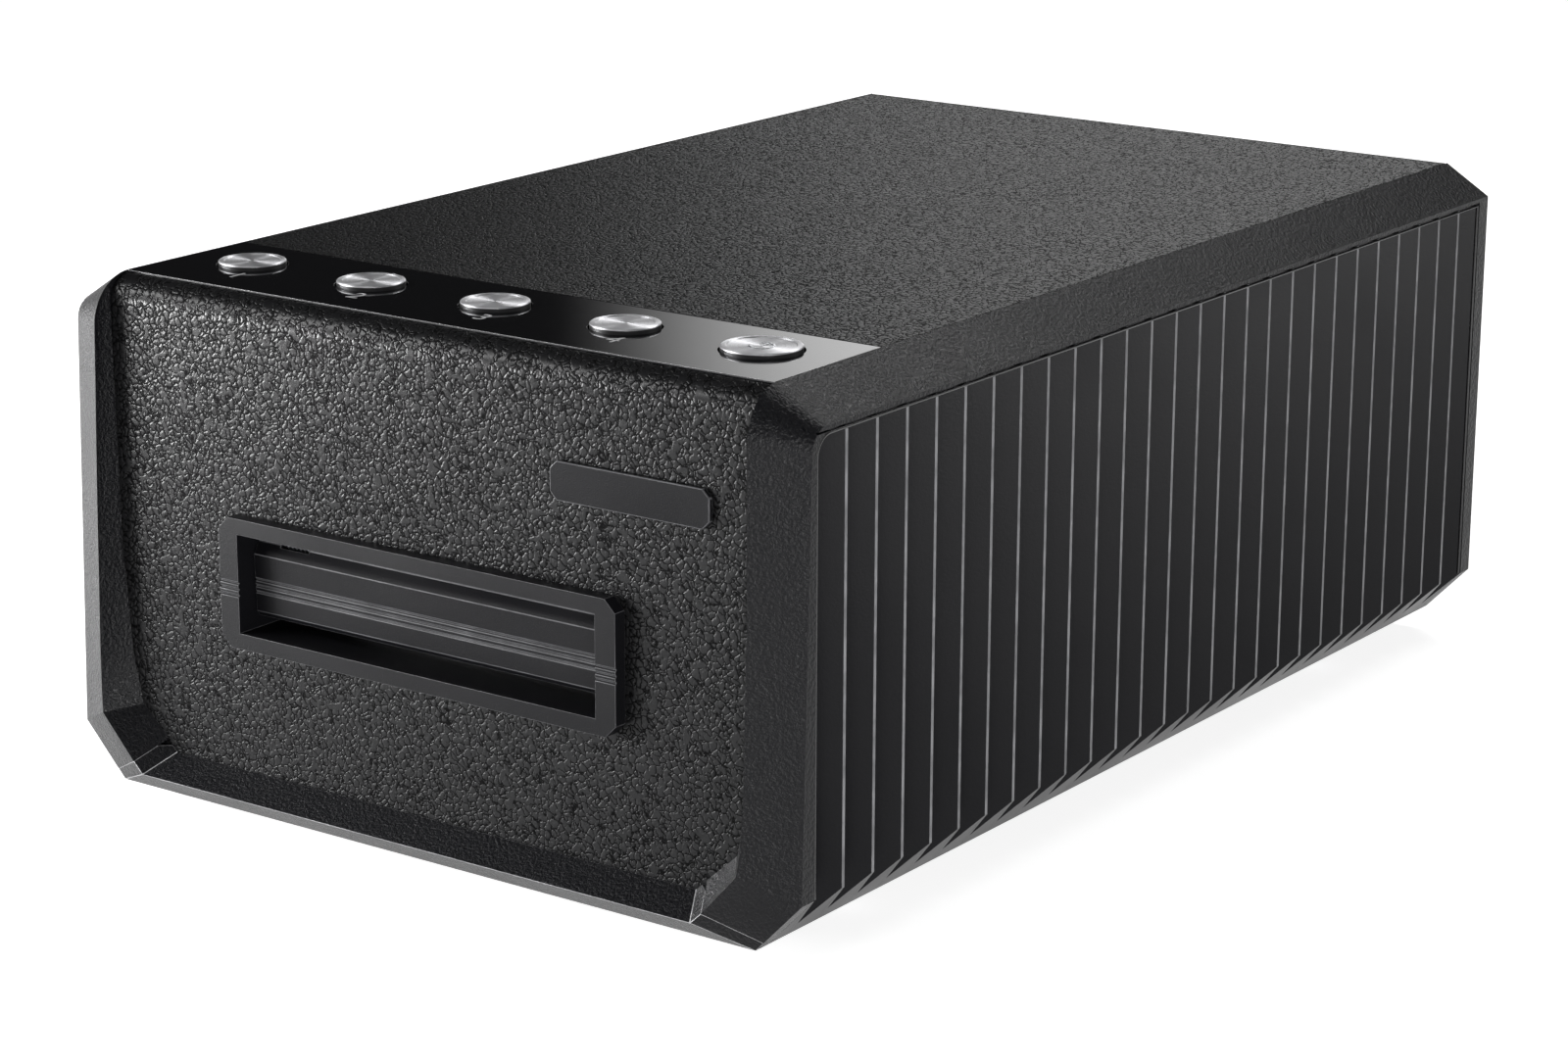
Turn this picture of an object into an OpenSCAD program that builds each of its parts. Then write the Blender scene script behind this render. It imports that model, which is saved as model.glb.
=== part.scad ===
// Desktop film negative scanner: a motor-driven film holder transport in a black housing
// with leather-grain panels, bellows-style pleated sides and five push buttons.
// Millimetres. +Z is up, the front faces -Y, and the origin is under the middle of the housing.

/* [Housing] */
// Overall width
body_w = 170; // [166:1:176]
// Overall depth, over the front frame edge
body_d = 259; // [256:1:270]
// Overall height, with the feet
body_h = 104; // [102:0.5:112]
// Height of the feet under the housing
foot_h = 4.4; // [3:0.1:6]
// Distance from one top ridge to the other
ridge_w = 150; // [146:1:152]
// Height lost along the bevel from ridge to side
bevel_drop = 6.1; // [4:0.1:8]
// Width of the bottom chamfer
chamfer_w = 9.7; // [8:0.1:12]
// Height of the bottom chamfer
chamfer_h = 10.2; // [8:0.1:12]
// Wall thickness of the flat panels
wall = 2.5; // [2:0.1:3.5]

/* [Front frame] */
// How far the front frame's edge leans back at the top
front_lean = 2.4; // [1:0.1:4]
// Depth of the front frame's outer bevel
frame_bevel_d = 5.4; // [4:0.1:7]
// Height of the front frame's lower edge above the housing's underside
lip_rise = 4.5; // [3:0.1:6]
// Depth from the front edge to the leather-grain panel
panel_set_back = 6.5; // [5:0.1:8]
// Corner radius of the ridge where it turns down the front
ridge_r = 9.5; // [7:0.5:12]
// Corner radius of the side's upper front corner
side_r = 4.2; // [3:0.1:6]

/* [Pleated sides] */
// Number of grooves along each side
pleat_count = 27; // [20:1:32]
// Depth of a groove
pleat_depth = 6.8; // [4:0.1:7]
// Width of the flat on each peak
peak_flat = 0.8; // [0.4:0.1:1.2]
// Width of the plain strip in front of the grooves
strip_front = 9.2; // [8:0.1:12]
// Width of the plain strip behind the grooves
strip_rear = 3.9; // [3:0.1:8]

/* [Control strip] */
// Depth of the glossy strip, front to back
strip_d = 31.5; // [28:0.5:36]
// Distance between neighbouring buttons
button_pitch = 29.7; // [26:0.1:31]
// Diameter of the numbered buttons' caps
cap_d = 12.8; // [11:0.1:14]
// Diameter of the power button's cap
power_cap_d = 14.6; // [13:0.1:16]
// Gap round a cap
cap_gap = 0.4; // [0.3:0.05:0.6]
// How far a cap stands above the strip
cap_proud = 0.9; // [0.5:0.1:1.5]
// Travel of a button
button_travel = 0.8; // [0.5:0.1:1.2]

/* [Slot] */
// Width of the slot bezel
bezel_w = 93; // [88:1:96]
// Height of the slot bezel
bezel_h = 25.2; // [24:0.2:28]
// How far the bezel stands out of the panel
bezel_proud = 2.8; // [2:0.1:4]
// Width of the slot window
window_w = 84; // [80:1:86]
// Height of the slot window
window_h = 19.1; // [17:0.1:20]
// Height of the window's middle above the floor
window_z = 49.95; // [49:0.05:51]
// Diameter of the flap pins
flap_pin_d = 2; // [1.6:0.1:2.2]
// Width of the badge plate
badge_w = 34.5; // [30:0.5:38]
// Height of the badge plate
badge_h = 7.2; // [6:0.1:9]

/* [Film transport] */
// Gear module
gear_module = 0.8; // [0.8]
// Teeth of the motor pinion and of the small reduction gear
small_teeth = 14; // [14]
// Teeth of the large reduction gear and of the roller gear
large_teeth = 40; // [40]
// Radius of the drive roller tyres
tyre_r = 8; // [7.5:0.1:8]
// Radius of the pinch rollers
pinch_r = 5.5; // [5:0.1:5.5]
// Diameter of the drive roller shafts
shaft_d = 5; // [4:0.1:5]
// Diameter of the pinch roller axles
pinch_axle_d = 4; // [3:0.1:4]
// Depth position of the front rollers
front_roller_y = -64; // [-66:1:-62]
// Depth position of the rear rollers
rear_roller_y = 40; // [36:1:46]
// Height of the lower film guide's top face
guide_z = 43.5; // [43:0.1:44]
// Clear height of the film channel
channel_h = 9; // [8.5:0.1:9.5]
// Half the width of the film channel
channel_half_w = 43; // [43]
// Radial clearance of a running fit
running_fit = 0.05; // [0.02:0.01:0.08]

/* [Hidden] */
eps = 0.01;
$fn = 48;

// Outer planes of the housing
half_w = body_w / 2;
front_y = -body_d / 2;
back_y = body_d / 2;
floor_z = foot_h;
side_top_z = body_h - bevel_drop;
fold_z = floor_z + chamfer_h;
foot_x = half_w - chamfer_w;
ridge_x = ridge_w / 2;
// Front frame
front_top_y = front_y + front_lean;
bevel_y = front_y + frame_bevel_d;
leather_y = front_y + panel_set_back;
lip_z = floor_z + lip_rise;
corner_z = lip_z + 10.5;
corner_x = ridge_x - 9.8;
leather_lip_z = lip_z + 3.6;
leather_corner_x = ridge_x - 4.4;
leather_corner_z = leather_lip_z + 7.9;
// Panels
panel_back_y = leather_y + wall;
front_curve_r = 5.2;
strip_y0 = leather_y + front_curve_r - 0.6;
strip_y1 = strip_y0 + strip_d;
seam = 0.15;
panel_half_w = ridge_x - seam;
inner_floor_z = floor_z + 2.6;
rear_face_y = back_y - 1.1;
rear_panel_t = 2.4;
// Pleated sides
rim_y0 = front_y + strip_front;
rim_y1 = back_y - strip_rear;
pleat_pitch = (rim_y1 - rim_y0) / pleat_count;
pleat_recess = 0.4;
peak_x = half_w - pleat_recess;
valley_x = half_w - pleat_depth;
pleat_skin = 1.8;
pleat_top_z = side_top_z - 1.2;
pleat_end = 0.2;
liner_t = 1.2;
liner_z = inner_floor_z + 1.2;
liner_lap = 1;
// Side frames: walls left round their cores, how far the top rail laps the side, the screw bosses
frame_wall = 2;
rail_skin = 1.8;
rail_lap = 0.8;
boss_d = 7;
boss_h = 14;
boss_rib_t = 3;
// Ledges of the side frames under the control strip and the top cover
ledge_w = 4;
ledge_t = 2;
ledge_y0 = -112;
// Ribs under the top cover
cover_rib_x = [-40, 0, 40];
cover_rib_t = 1.6;
cover_rib_h = 4;
// Vents in the rear panel
vent_count = 6;
vent_x = [50, 68];
vent_z = 16;
vent_pitch = 5;
vent_h = 2.4;
// Buttons
button_y = (strip_y0 + strip_y1) / 2 + 2;
button_x = [for (i = [-2 : 2]) i * button_pitch];
stem_d = 5;
cap_skirt = 2.4;
cap_chamfer = 0.35;
guide_collar_d = 20;
guide_collar_h = 6.2;
cap_pocket_h = 4.6;
board_post_d = 5;
board_z = body_h - 12.8;
board_t = 1.6;
switch_h = 2.4;
switch_w = 7;
switch_floor = 0.6;
switch_well_d = stem_d + 0.3;
stem_end_z = board_z + board_t + switch_floor + button_travel + 0.02;
post_x = [-67, 67];
post_y = [strip_y0 + 8, strip_y1 - 6];
// Slot
bezel_face_y = leather_y - bezel_proud;
window_half_w = window_w / 2;
window_z0 = window_z - window_h / 2;
window_z1 = window_z + window_h / 2;
bezel_z0 = window_z - bezel_h / 2;
bezel_z1 = window_z + bezel_h / 2;
bezel_cut = 2.3;
collar_t = 1.4;
flap_room = 0.7;
pin_hold = 0.04;
lug_w = 3;
lug_pin = 2.3;
collar_back_y = leather_y + 10.5;
flap_half_w = window_half_w - 0.4;
flap_pin_y = leather_y + 4.6;
flap_pin_z = window_z1 - 1.9;
rear_pin_y = rear_face_y - 2.1;
rear_pin_z = flap_pin_z - 0.2;
flap_barrel_r = 1.9;
flap_spring_x = -36;
flap_spring_len = 7;
groove_pitch = 1.2;
badge_x = 48.2;
badge_z = 81.4;
badge_t = 1;
badge_cut = 1.5;
// Transport
plate_t = 2;
plate_x = channel_half_w + plate_t;
plate_y0 = -109;
plate_y1 = 120;
plate_top_z = 72;
plate_gap_y = [66, 82];
plate_gap_z = 12;
slot_fit = 0.08;
guide_t = 2;
guide_drop = 1.8;
guide_mouth_y = -99;
guide_bend_y = -92;
channel_top_z = guide_z + channel_h;
roller_z = guide_z + 0.5 - tyre_r;
tyre_x = 26;
tyre_w = 14;
pinch_w = 12;
sleeve_slot = 7;
pinch_z = roller_z + tyre_r + 0.05 + pinch_r;
pinch_lift = 7;
bridge_z = 65;
bridge_t = 2;
bridge_w = 8;
spring_x = 38;
spring_wire_r = 0.4;
spring_r = 2;
spring_turns = 6;
spring_z0 = pinch_z + pinch_axle_d / 2 + 0.05;
spring_hole_d = 7;
scan_y = -12;
scan_half_w = 34;
scan_slot = 5;
// Gear train: the reduction post stands where both meshes close
motor_pos = [-100, 24];
roller_pos = [front_roller_y, roller_z];
mesh_distance = gear_module * (small_teeth + large_teeth) / 2;
span = norm(roller_pos - motor_pos);
span_dir = (roller_pos - motor_pos) / span;
post_rise = sqrt(mesh_distance * mesh_distance - span * span / 4);
post_pos = motor_pos + span_dir * span / 2 + [-span_dir[1], span_dir[0]] * post_rise;
gear_x0 = plate_x + 2;
gear_w = 5;
second_x0 = gear_x0 + gear_w + 1;
pulley_x0 = second_x0 + gear_w + 2;
pulley_r = 7;
belt_w = 5.4;
belt_t = 1;
post_d = 3;
motor_shaft_d = 2;
motor_d = 28;
motor_len = 17;
motor_boss_d = 7;
motor_flange_t = 1.2;
motor_ear = [10, 32];
bush_d = 8;
bush_flange_d = 11;
bush_x = 42;
shaft_end_x = -47.5;
// Optics
optic_z = 24;
sensor_y = 60;
sensor_x = 26;
sensor_z = [11, 36];
cradle_x = 30;
cradle_t = 2.4;
cheek_t = 2.5;
cheek_z = 38;
scan_reach = 12;
mirror_half = [28.15, 10, 1];
barrel_d = 14;
barrel_y = [12, 34];
barrel_seat_y = [17, 27];
lens_d = 9;
lens_t = 3;
lens_y = [14, 29];
// Lamp house
lamp_half_w = 40;
lamp_h = 20;
lamp_wall = 2;
diffuser_t = 2;
led_pitch = 8;
led_size = 3;
// Boards at the left side
main_board_x = -61;
io_x = main_board_x + board_t;
io_y = rear_face_y - rear_panel_t;
jack_z = 20;
jack_w = 11;
jack_nose_d = 8;
jack_bore_d = 6.4;
jack_pin_d = 2;
usb_z = 38;
usb_w = 11.2;
usb_h = 12;
main_board_y0 = -14;
main_board_top_z = 76;
board_clip_y = [0, 55, 108];
clip_t = 1.6;
clip_w = 6;
clip_h = 5;
// Feet and screws
foot_d = 16;
foot_pos = [56, 104];
foot_sink = 0.7;
foot_edge = 1.2;
screw_d = 3;
screw_len = 13;
screw_head_d = 5.5;
screw_head_h = 1.25;
screw_key_d = 2.2;
screw_pos = [69.5, 88];

BLACK = [0.07, 0.07, 0.075];
SATIN = [0.10, 0.10, 0.11];
STEEL = [0.62, 0.63, 0.65];
ALUMINIUM = [0.78, 0.78, 0.80];
GREEN = [0.05, 0.30, 0.14];
WHITE = [0.88, 0.88, 0.86];
RUBBER = [0.13, 0.13, 0.13];
BRASS = [0.75, 0.60, 0.30];
GLASS = [0.76, 0.85, 0.90];

// The convex solid through a list of points
module convex(points) {
    hull() polyhedron(points, [[for (i = [0 : len(points) - 1]) i]]);
}

// A block from its lowest to its highest corner
module block(low, high) {
    translate(low) cube(high - low);
}

// A child drawn in the Y-Z plane and extruded from x0 to x1
module along_x(x0, x1) {
    translate([x0, 0, 0]) rotate([90, 0, 90]) linear_extrude(x1 - x0) children();
}

// A child drawn in the X-Z plane and extruded from y0 to y1
module along_y(y0, y1) {
    translate([0, y1, 0]) rotate([90, 0, 0]) linear_extrude(y1 - y0) children();
}

// A plate outline with clipped corners
module clipped(size, cut) {
    w = size[0] / 2;
    h = size[1] / 2;
    polygon([
        [-w + cut, -h], [w - cut, -h], [w, -h + cut], [w, h - cut],
        [w - cut, h], [-w + cut, h], [-w, h - cut], [-w, -h + cut]
    ]);
}

// A round bar along X at a Y-Z position
module bar_x(pos, d, x0, x1) {
    translate([x0, pos[0], pos[1]]) rotate([0, 90, 0]) cylinder(d = d, h = x1 - x0);
}

// A round bar along Y at an X-Z position
module bar_y(pos, d, y0, y1) {
    translate([pos[0], y0, pos[1]]) rotate([-90, 0, 0]) cylinder(d = d, h = y1 - y0);
}

// Both sides of the housing
module both_sides() {
    children();
    mirror([1, 0, 0]) children();
}

// Points on an arc in the Y-Z plane at a given x
function arc_points(x, centre, r, steps) = [
    for (i = [0 : steps])
        let (a = 90 + 90 * i / steps)
            [x, centre[0] + r * cos(a), centre[1] + r * sin(a)]
];

// Corner points of one half of the outer form, s is -1 or 1
function half_form(s) = concat(
    arc_points(s * half_w, [bevel_y + front_lean + side_r, side_top_z - side_r], side_r, 8),
    arc_points(s * ridge_x, [front_top_y + ridge_r, body_h - ridge_r], ridge_r, 12),
    [
        [s * half_w, bevel_y, fold_z], [s * half_w, back_y, fold_z], [s * half_w, back_y, side_top_z],
        [s * ridge_x, back_y, body_h],
        [s * ridge_x, front_y, corner_z], [s * corner_x, front_y, lip_z],
        [s * foot_x, bevel_y, floor_z], [s * foot_x, back_y, floor_z]
    ]
);

// The housing's outer form, all convex
module outer_form() {
    convex(concat(half_form(1), half_form(-1)));
}

// Front frame outline at the leather-grain panel, and at the frame's front edge
function inner_outline(s) = [
    [s * ridge_x, leather_y, body_h + 4], [s * (ridge_x - 0.6), leather_y, 52],
    [s * (ridge_x - 2.4), leather_y, leather_corner_z + 9],
    [s * leather_corner_x, leather_y, leather_corner_z],
    [s * (corner_x - 3.4), leather_y, leather_lip_z]
];
function edge_outline(s) = [
    [s * ridge_x, front_top_y, body_h + 4], [s * ridge_x, front_top_y, body_h - ridge_r],
    [s * ridge_x, front_y + 0.3, corner_z + 9], [s * ridge_x, front_y, corner_z],
    [s * corner_x, front_y, lip_z]
];

// The tapering hollow inside the front frame
module frame_hollow() {
    grow = 1.4;
    inner = concat(inner_outline(1), inner_outline(-1));
    edge = concat(edge_outline(1), edge_outline(-1));
    convex(concat(inner, edge, [for (i = [0 : len(edge) - 1]) inner[i] + (edge[i] - inner[i]) * grow]));
}

// The mitre block that the lower lip of the front frame fills, between its two corner edges
module mitre_region() {
    reach = 60;
    edge = [corner_x, front_y, lip_z];
    inner = [corner_x - 3.4, leather_y, leather_lip_z];
    under = [foot_x, bevel_y, floor_z];
    a = (inner - edge) / norm(inner - edge);
    b_raw = (under - edge) - a * ((under - edge) * a);
    b = b_raw / norm(b_raw);
    sides = [for (p = [-1, 1], q = [-1, 1]) edge + a * p * reach + b * q * reach];
    convex(concat(sides, [for (p = sides) [-p[0], p[1], p[2]]]));
}

// ---------------------------------------------------------------- housing

// Bottom plate, front lip and standing bosses
module base_tray() {
    color(SATIN) difference() {
        union() {
            block([-panel_half_w, bevel_y, floor_z], [panel_half_w, back_y - 0.2, inner_floor_z]);
            intersection() {
                difference() {
                    outer_form();
                    frame_hollow();
                }
                mitre_region();
                block([-half_w, front_y - 1, floor_z - 1], [half_w, leather_y - seam, leather_lip_z + 1]);
            }
            for (y = board_clip_y, x = [main_board_x - clip_t - 0.05, io_x + 0.05])
                block(
                    [x, y - clip_w / 2, inner_floor_z - eps],
                    [x + clip_t, y + clip_w / 2, inner_floor_z + clip_h]
                );
        }
        for (x = [-1, 1], y = [-1, 1]) {
            translate([x * foot_pos[0], y * foot_pos[1], floor_z - eps])
                cylinder(d = foot_d + 0.2, h = foot_sink + 0.1);
            translate([x * screw_pos[0], y * screw_pos[1], floor_z - eps]) {
                cylinder(d = screw_d + 0.4, h = 5);
                cylinder(d = screw_head_d + 0.6, h = 1.5);
            }
        }
    }
}

// One side frame: top rail with bevel, front post, rear post and inner liner
module side_frame() {
    difference() {
        union() {
            intersection() {
                outer_form();
                union() {
                    block([ridge_x, front_y, side_top_z - rail_lap], [half_w, back_y, body_h]);
                    block([ridge_x, front_y, floor_z], [half_w, rim_y0, body_h]);
                    block([ridge_x, rim_y1, floor_z], [half_w, back_y, body_h]);
                    block([0, front_y, floor_z], [half_w, leather_y, body_h]);
                }
            }
            block(
                [ridge_x, rim_y0 - liner_lap, liner_z],
                [ridge_x + liner_t, rim_y1 + liner_lap, side_top_z]
            );
            block(
                [ridge_x - ledge_w, ledge_y0, body_h - wall - ledge_t],
                [ridge_x + 0.5, rear_face_y - rear_panel_t - seam, body_h - wall]
            );
            for (y = [-1, 1]) {
                translate([screw_pos[0], y * screw_pos[1], inner_floor_z])
                    cylinder(d = boss_d, h = boss_h);
                block(
                    [screw_pos[0], y * screw_pos[1] - boss_rib_t / 2, inner_floor_z],
                    [ridge_x + 0.5, y * screw_pos[1] + boss_rib_t / 2, inner_floor_z + boss_h]
                );
            }
        }
        frame_hollow();
        intersection() {
            mitre_region();
            block([0, front_y - 1, 0], [half_w + 1, leather_y, body_h]);
        }
        block([0, leather_y - eps, floor_z - 1], [ridge_x - 10, back_y, body_h + 1]);
        along_y(rim_y0 - liner_lap, rim_y1 + liner_lap)
            polygon([
                [ridge_x + frame_wall, side_top_z - frame_wall],
                [half_w - rail_skin, side_top_z - frame_wall],
                [half_w - rail_skin, side_top_z - rail_lap / 2],
                [ridge_x + frame_wall, body_h - rail_skin - rail_lap]
            ]);
        block(
            [ridge_x + frame_wall, leather_y + 0.8 * frame_wall, fold_z],
            [half_w - frame_wall, rim_y0 + eps, side_top_z - 2 * frame_wall]
        );
        for (y = [-1, 1])
            translate([screw_pos[0], y * screw_pos[1], inner_floor_z - 1])
                cylinder(d = screw_d + 0.02, h = screw_len);
    }
}

module right_side_frame() {
    color(SATIN) side_frame();
}

module left_side_frame() {
    color(SATIN) mirror([1, 0, 0]) side_frame();
}

// Groove outline in plan, from the rim in front to the rim behind; push moves it inwards
function pleat_line(push) = [
    for (i = [0 : pleat_count - 1], k = [0 : 2])
        let (y = rim_y0 + i * pleat_pitch)
            k == 0 ? [peak_x - push, y + (i == 0 ? pleat_end : peak_flat / 2)]
            : k == 1 ? [valley_x - push, y + pleat_pitch / 2]
            : [peak_x - push, y + pleat_pitch - (i == pleat_count - 1 ? pleat_end : peak_flat / 2)]
];

// One pleated panel: a folded skin whose grooves run out through the bottom chamfer
module pleated_panel() {
    outer = pleat_line(0);
    inner = pleat_line(pleat_skin);
    turned = [for (i = [len(inner) - 1 : -1 : 0]) inner[i]];
    intersection() {
        linear_extrude(body_h) polygon(concat(outer, turned));
        along_y(rim_y0, rim_y1)
            polygon([
                [ridge_x, floor_z + 0.2], [foot_x, floor_z], [half_w, fold_z],
                [half_w, pleat_top_z], [ridge_x, pleat_top_z]
            ]);
    }
    difference() {
        along_y(rim_y0 + seam, rim_y1 - seam)
            polygon([
                [foot_x, floor_z], [peak_x, fold_z - pleat_recess], [peak_x, fold_z + 1],
                [foot_x - 0.1, floor_z + 2]
            ]);
        linear_extrude(body_h)
            polygon(concat(outer, [[half_w + 1, rim_y1], [half_w + 1, rim_y0]]));
    }
}

module right_pleated_panel() {
    color(BLACK) pleated_panel();
}

module left_pleated_panel() {
    color(BLACK) mirror([1, 0, 0]) pleated_panel();
}

// Leather-grain front panel, curving back at its top, with the slot cut-out
module front_panel() {
    curve = [leather_y + front_curve_r, body_h - 0.3 - front_curve_r];
    color(BLACK) difference() {
        along_x(-panel_half_w, panel_half_w) {
            translate([leather_y, inner_floor_z]) square([wall, curve[1] - inner_floor_z]);
            difference() {
                translate(curve) circle(r = front_curve_r);
                translate(curve) circle(r = front_curve_r - wall);
                translate([curve[0] - 0.6, 0]) square([20, body_h * 2]);
                translate([curve[0] - 20, 0]) square([40, curve[1] - eps]);
            }
        }
        block(
            [-window_half_w - collar_t - 0.2, leather_y - 1, window_z0 - collar_t - 0.4],
            [window_half_w + collar_t + 0.2, panel_back_y + 1, window_z1 + collar_t + 0.9]
        );
    }
}

// Leather-grain top cover with stiffening ribs beneath
module top_cover() {
    color(BLACK) {
        block([-panel_half_w, strip_y1 + seam, body_h - wall], [panel_half_w, back_y - 0.2, body_h]);
        for (x = cover_rib_x)
            block(
                [x - cover_rib_t / 2, strip_y1 + 2 * cover_rib_h, body_h - wall - cover_rib_h],
                [x + cover_rib_t / 2, rear_face_y - 2 * cover_rib_h, body_h - wall]
            );
    }
}

// Diameter of a button's cap by its place, 0 to 4
function button_d(i) = i == 4 ? power_cap_d : cap_d;

// Glossy strip with button holes, stem guides and board posts
module control_panel() {
    color(BLACK) difference() {
        union() {
            block([-panel_half_w, strip_y0, body_h - wall], [panel_half_w, strip_y1, body_h]);
            for (i = [0 : 4])
                translate([button_x[i], button_y, body_h - guide_collar_h])
                    cylinder(d = guide_collar_d, h = guide_collar_h - wall + eps);
            for (x = post_x, y = post_y)
                translate([x, y, board_z + board_t])
                    cylinder(d = board_post_d, h = body_h - wall - board_z - board_t + eps);
        }
        for (i = [0 : 4])
            translate([button_x[i], button_y, 0]) {
                translate([0, 0, body_h - cap_pocket_h]) cylinder(d = button_d(i) + 2 * cap_gap, h = 10);
                translate([0, 0, body_h - 10]) cylinder(r = stem_d / 2 + running_fit, h = 10);
            }
    }
}

// Rear panel with the holder exit and the socket cut-outs
module rear_panel() {
    color(SATIN) difference() {
        union() {
            block([-panel_half_w, io_y, inner_floor_z], [panel_half_w, rear_face_y, body_h - wall]);
            both_sides()
                block(
                    [window_half_w, rear_pin_y - 2.2, rear_pin_z - 2.4],
                    [window_half_w + lug_w, rear_face_y, rear_pin_z + 2.4]
                );
        }
        block([-window_half_w, io_y - 1, window_z0 + 1], [window_half_w, back_y, window_z1 + 0.2]);
        bar_x(
            [rear_pin_y, rear_pin_z], flap_pin_d + pin_hold,
            -window_half_w - lug_pin - 0.1, window_half_w + lug_pin + 0.1
        );
        bar_y([io_x + jack_w / 2, jack_z], jack_nose_d + 0.2, io_y - 1, back_y);
        block(
            [io_x - 0.2, io_y - 1, usb_z - usb_h / 2 - 0.3],
            [io_x + usb_w + 0.2, back_y, usb_z + usb_h / 2 + 0.3]
        );
        for (i = [0 : vent_count - 1])
            block(
                [vent_x[0], io_y - 1, vent_z + i * vent_pitch],
                [vent_x[1], back_y, vent_z + vent_h + i * vent_pitch]
            );
    }
}

// Raised bezel round the slot, with the collar that carries the flap pin
module slot_bezel() {
    color(SATIN) difference() {
        union() {
            translate([0, 0, window_z]) along_y(bezel_face_y, leather_y)
                clipped([bezel_w, bezel_h], bezel_cut);
            block(
                [-window_half_w - collar_t, leather_y - eps, window_z0 - collar_t],
                [window_half_w + collar_t, collar_back_y, window_z1 + flap_room + collar_t]
            );
        }
        block([-window_half_w, bezel_face_y - 1, window_z0], [window_half_w, collar_back_y + 1, window_z1]);
        block(
            [-window_half_w, leather_y + 1, window_z0],
            [window_half_w, collar_back_y + 1, window_z1 + flap_room]
        );
        bar_x(
            [flap_pin_y, flap_pin_z], flap_pin_d + pin_hold,
            -window_half_w - collar_t - 1, window_half_w + collar_t + 1
        );
        for (i = [-1 : 1])
            fine_groove(bezel_w / 2 + 1, bezel_face_y, groove_z(i));
    }
}

// Height of one of the three fine grooves across bezel and flap
function groove_z(i) = window_z - 1.1 + i * groove_pitch;

// A fine V-groove along X in a face that looks to -Y
module fine_groove(reach, y, z) {
    along_x(-reach, reach) polygon([[y - 0.1, z - 0.42], [y + 0.35, z], [y - 0.1, z + 0.42]]);
}

// Raised plate with clipped corners, left bare
module badge_plate() {
    color(SATIN) translate([badge_x, 0, badge_z]) along_y(leather_y - badge_t, leather_y)
        clipped([badge_w, badge_h], badge_cut);
}

// Steel pins of the two flaps
module flap_pins() {
    reach = window_half_w + collar_t;
    color(STEEL) {
        bar_x([flap_pin_y, flap_pin_z], flap_pin_d, -reach, reach);
        bar_x([rear_pin_y, rear_pin_z], flap_pin_d, -window_half_w - lug_pin, window_half_w + lug_pin);
    }
}

// Torsion spring on the front pin, in a gap of the flap's barrel
module flap_spring() {
    color(STEEL) translate([flap_spring_x, flap_pin_y, flap_pin_z]) rotate([0, 90, 0])
        coil([0, 0], 0.3, flap_spring_len - 0.3, flap_pin_d / 2 + 0.4, 0.2, 6);
}

// Front dust flap: barrel, sloping shoulder and a face with three fine grooves
module dust_flap() {
    face_top = flap_pin_z - 2.6;
    face_y = flap_pin_y - 3.4;
    foot_z = window_z0 + 2.3;
    color(SATIN) difference() {
        union() {
            bar_x([flap_pin_y, flap_pin_z], 2 * flap_barrel_r, -flap_half_w, flap_half_w);
            along_x(-flap_half_w, flap_half_w)
                polygon([
                    [flap_pin_y - 1.8, flap_pin_z - 0.3], [face_y, face_top], [face_y + 0.4, foot_z + 1.2],
                    [face_y + 1.1, foot_z + 0.2], [face_y + 2, foot_z], [face_y + 2.2, face_top],
                    [flap_pin_y + 1.3, flap_pin_z - 1.3]
                ]);
        }
        bar_x([flap_pin_y, flap_pin_z], flap_pin_d + 2 * running_fit, -60, 60);
        bar_x([flap_pin_y, flap_pin_z], 4.6, flap_spring_x, flap_spring_x + flap_spring_len);
        for (i = [-1 : 1])
            fine_groove(60, face_y + 0.17, groove_z(i));
    }
}

// Rear dust flap
module rear_flap() {
    foot_z = window_z0 + 1.4;
    color(SATIN) difference() {
        union() {
            bar_x([rear_pin_y, rear_pin_z], 2 * flap_barrel_r, -flap_half_w, flap_half_w);
            along_x(-flap_half_w, flap_half_w)
                polygon([
                    [rear_pin_y + 1.85, rear_pin_z], [rear_pin_y + 1.85, foot_z],
                    [rear_pin_y + 0.4, foot_z], [rear_pin_y + 0.4, rear_pin_z - 2],
                    [rear_pin_y - 0.5, rear_pin_z - 1]
                ]);
        }
        bar_x([rear_pin_y, rear_pin_z], flap_pin_d + 2 * running_fit, -60, 60);
    }
}

// ---------------------------------------------------------------- buttons and boards

// Aluminium cap with a chamfered rim on its plunger stem
module button_cap(i) {
    r = button_d(i) / 2;
    color(ALUMINIUM) translate([button_x[i], button_y, 0]) rotate_extrude()
        polygon([
            [0, stem_end_z], [stem_d / 2, stem_end_z],
            [stem_d / 2, body_h - cap_skirt], [r, body_h - cap_skirt],
            [r, body_h + cap_proud - cap_chamfer], [r - cap_chamfer, body_h + cap_proud],
            [0, body_h + cap_proud]
        ]);
}

module button_cap_1() { button_cap(0); }
module button_cap_2() { button_cap(1); }
module button_cap_3() { button_cap(2); }
module button_cap_4() { button_cap(3); }
module power_button_cap() { button_cap(4); }

// Board that hangs on the control strip's posts
module button_board() {
    color(GREEN) block(
        [-panel_half_w + 2, strip_y0 + 4, board_z], [panel_half_w - 2, strip_y1 - 2.5, board_z + board_t]
    );
}

// Five switches with a well each, whose floor the stem meets at the end of its travel
module tact_switches() {
    color(RUBBER) for (x = button_x)
        translate([x, button_y, board_z + board_t]) difference() {
            translate([-switch_w / 2, -switch_w / 2, 0]) cube([switch_w, switch_w, switch_h]);
            translate([0, 0, switch_floor]) cylinder(d = switch_well_d, h = switch_h);
        }
}

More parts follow.
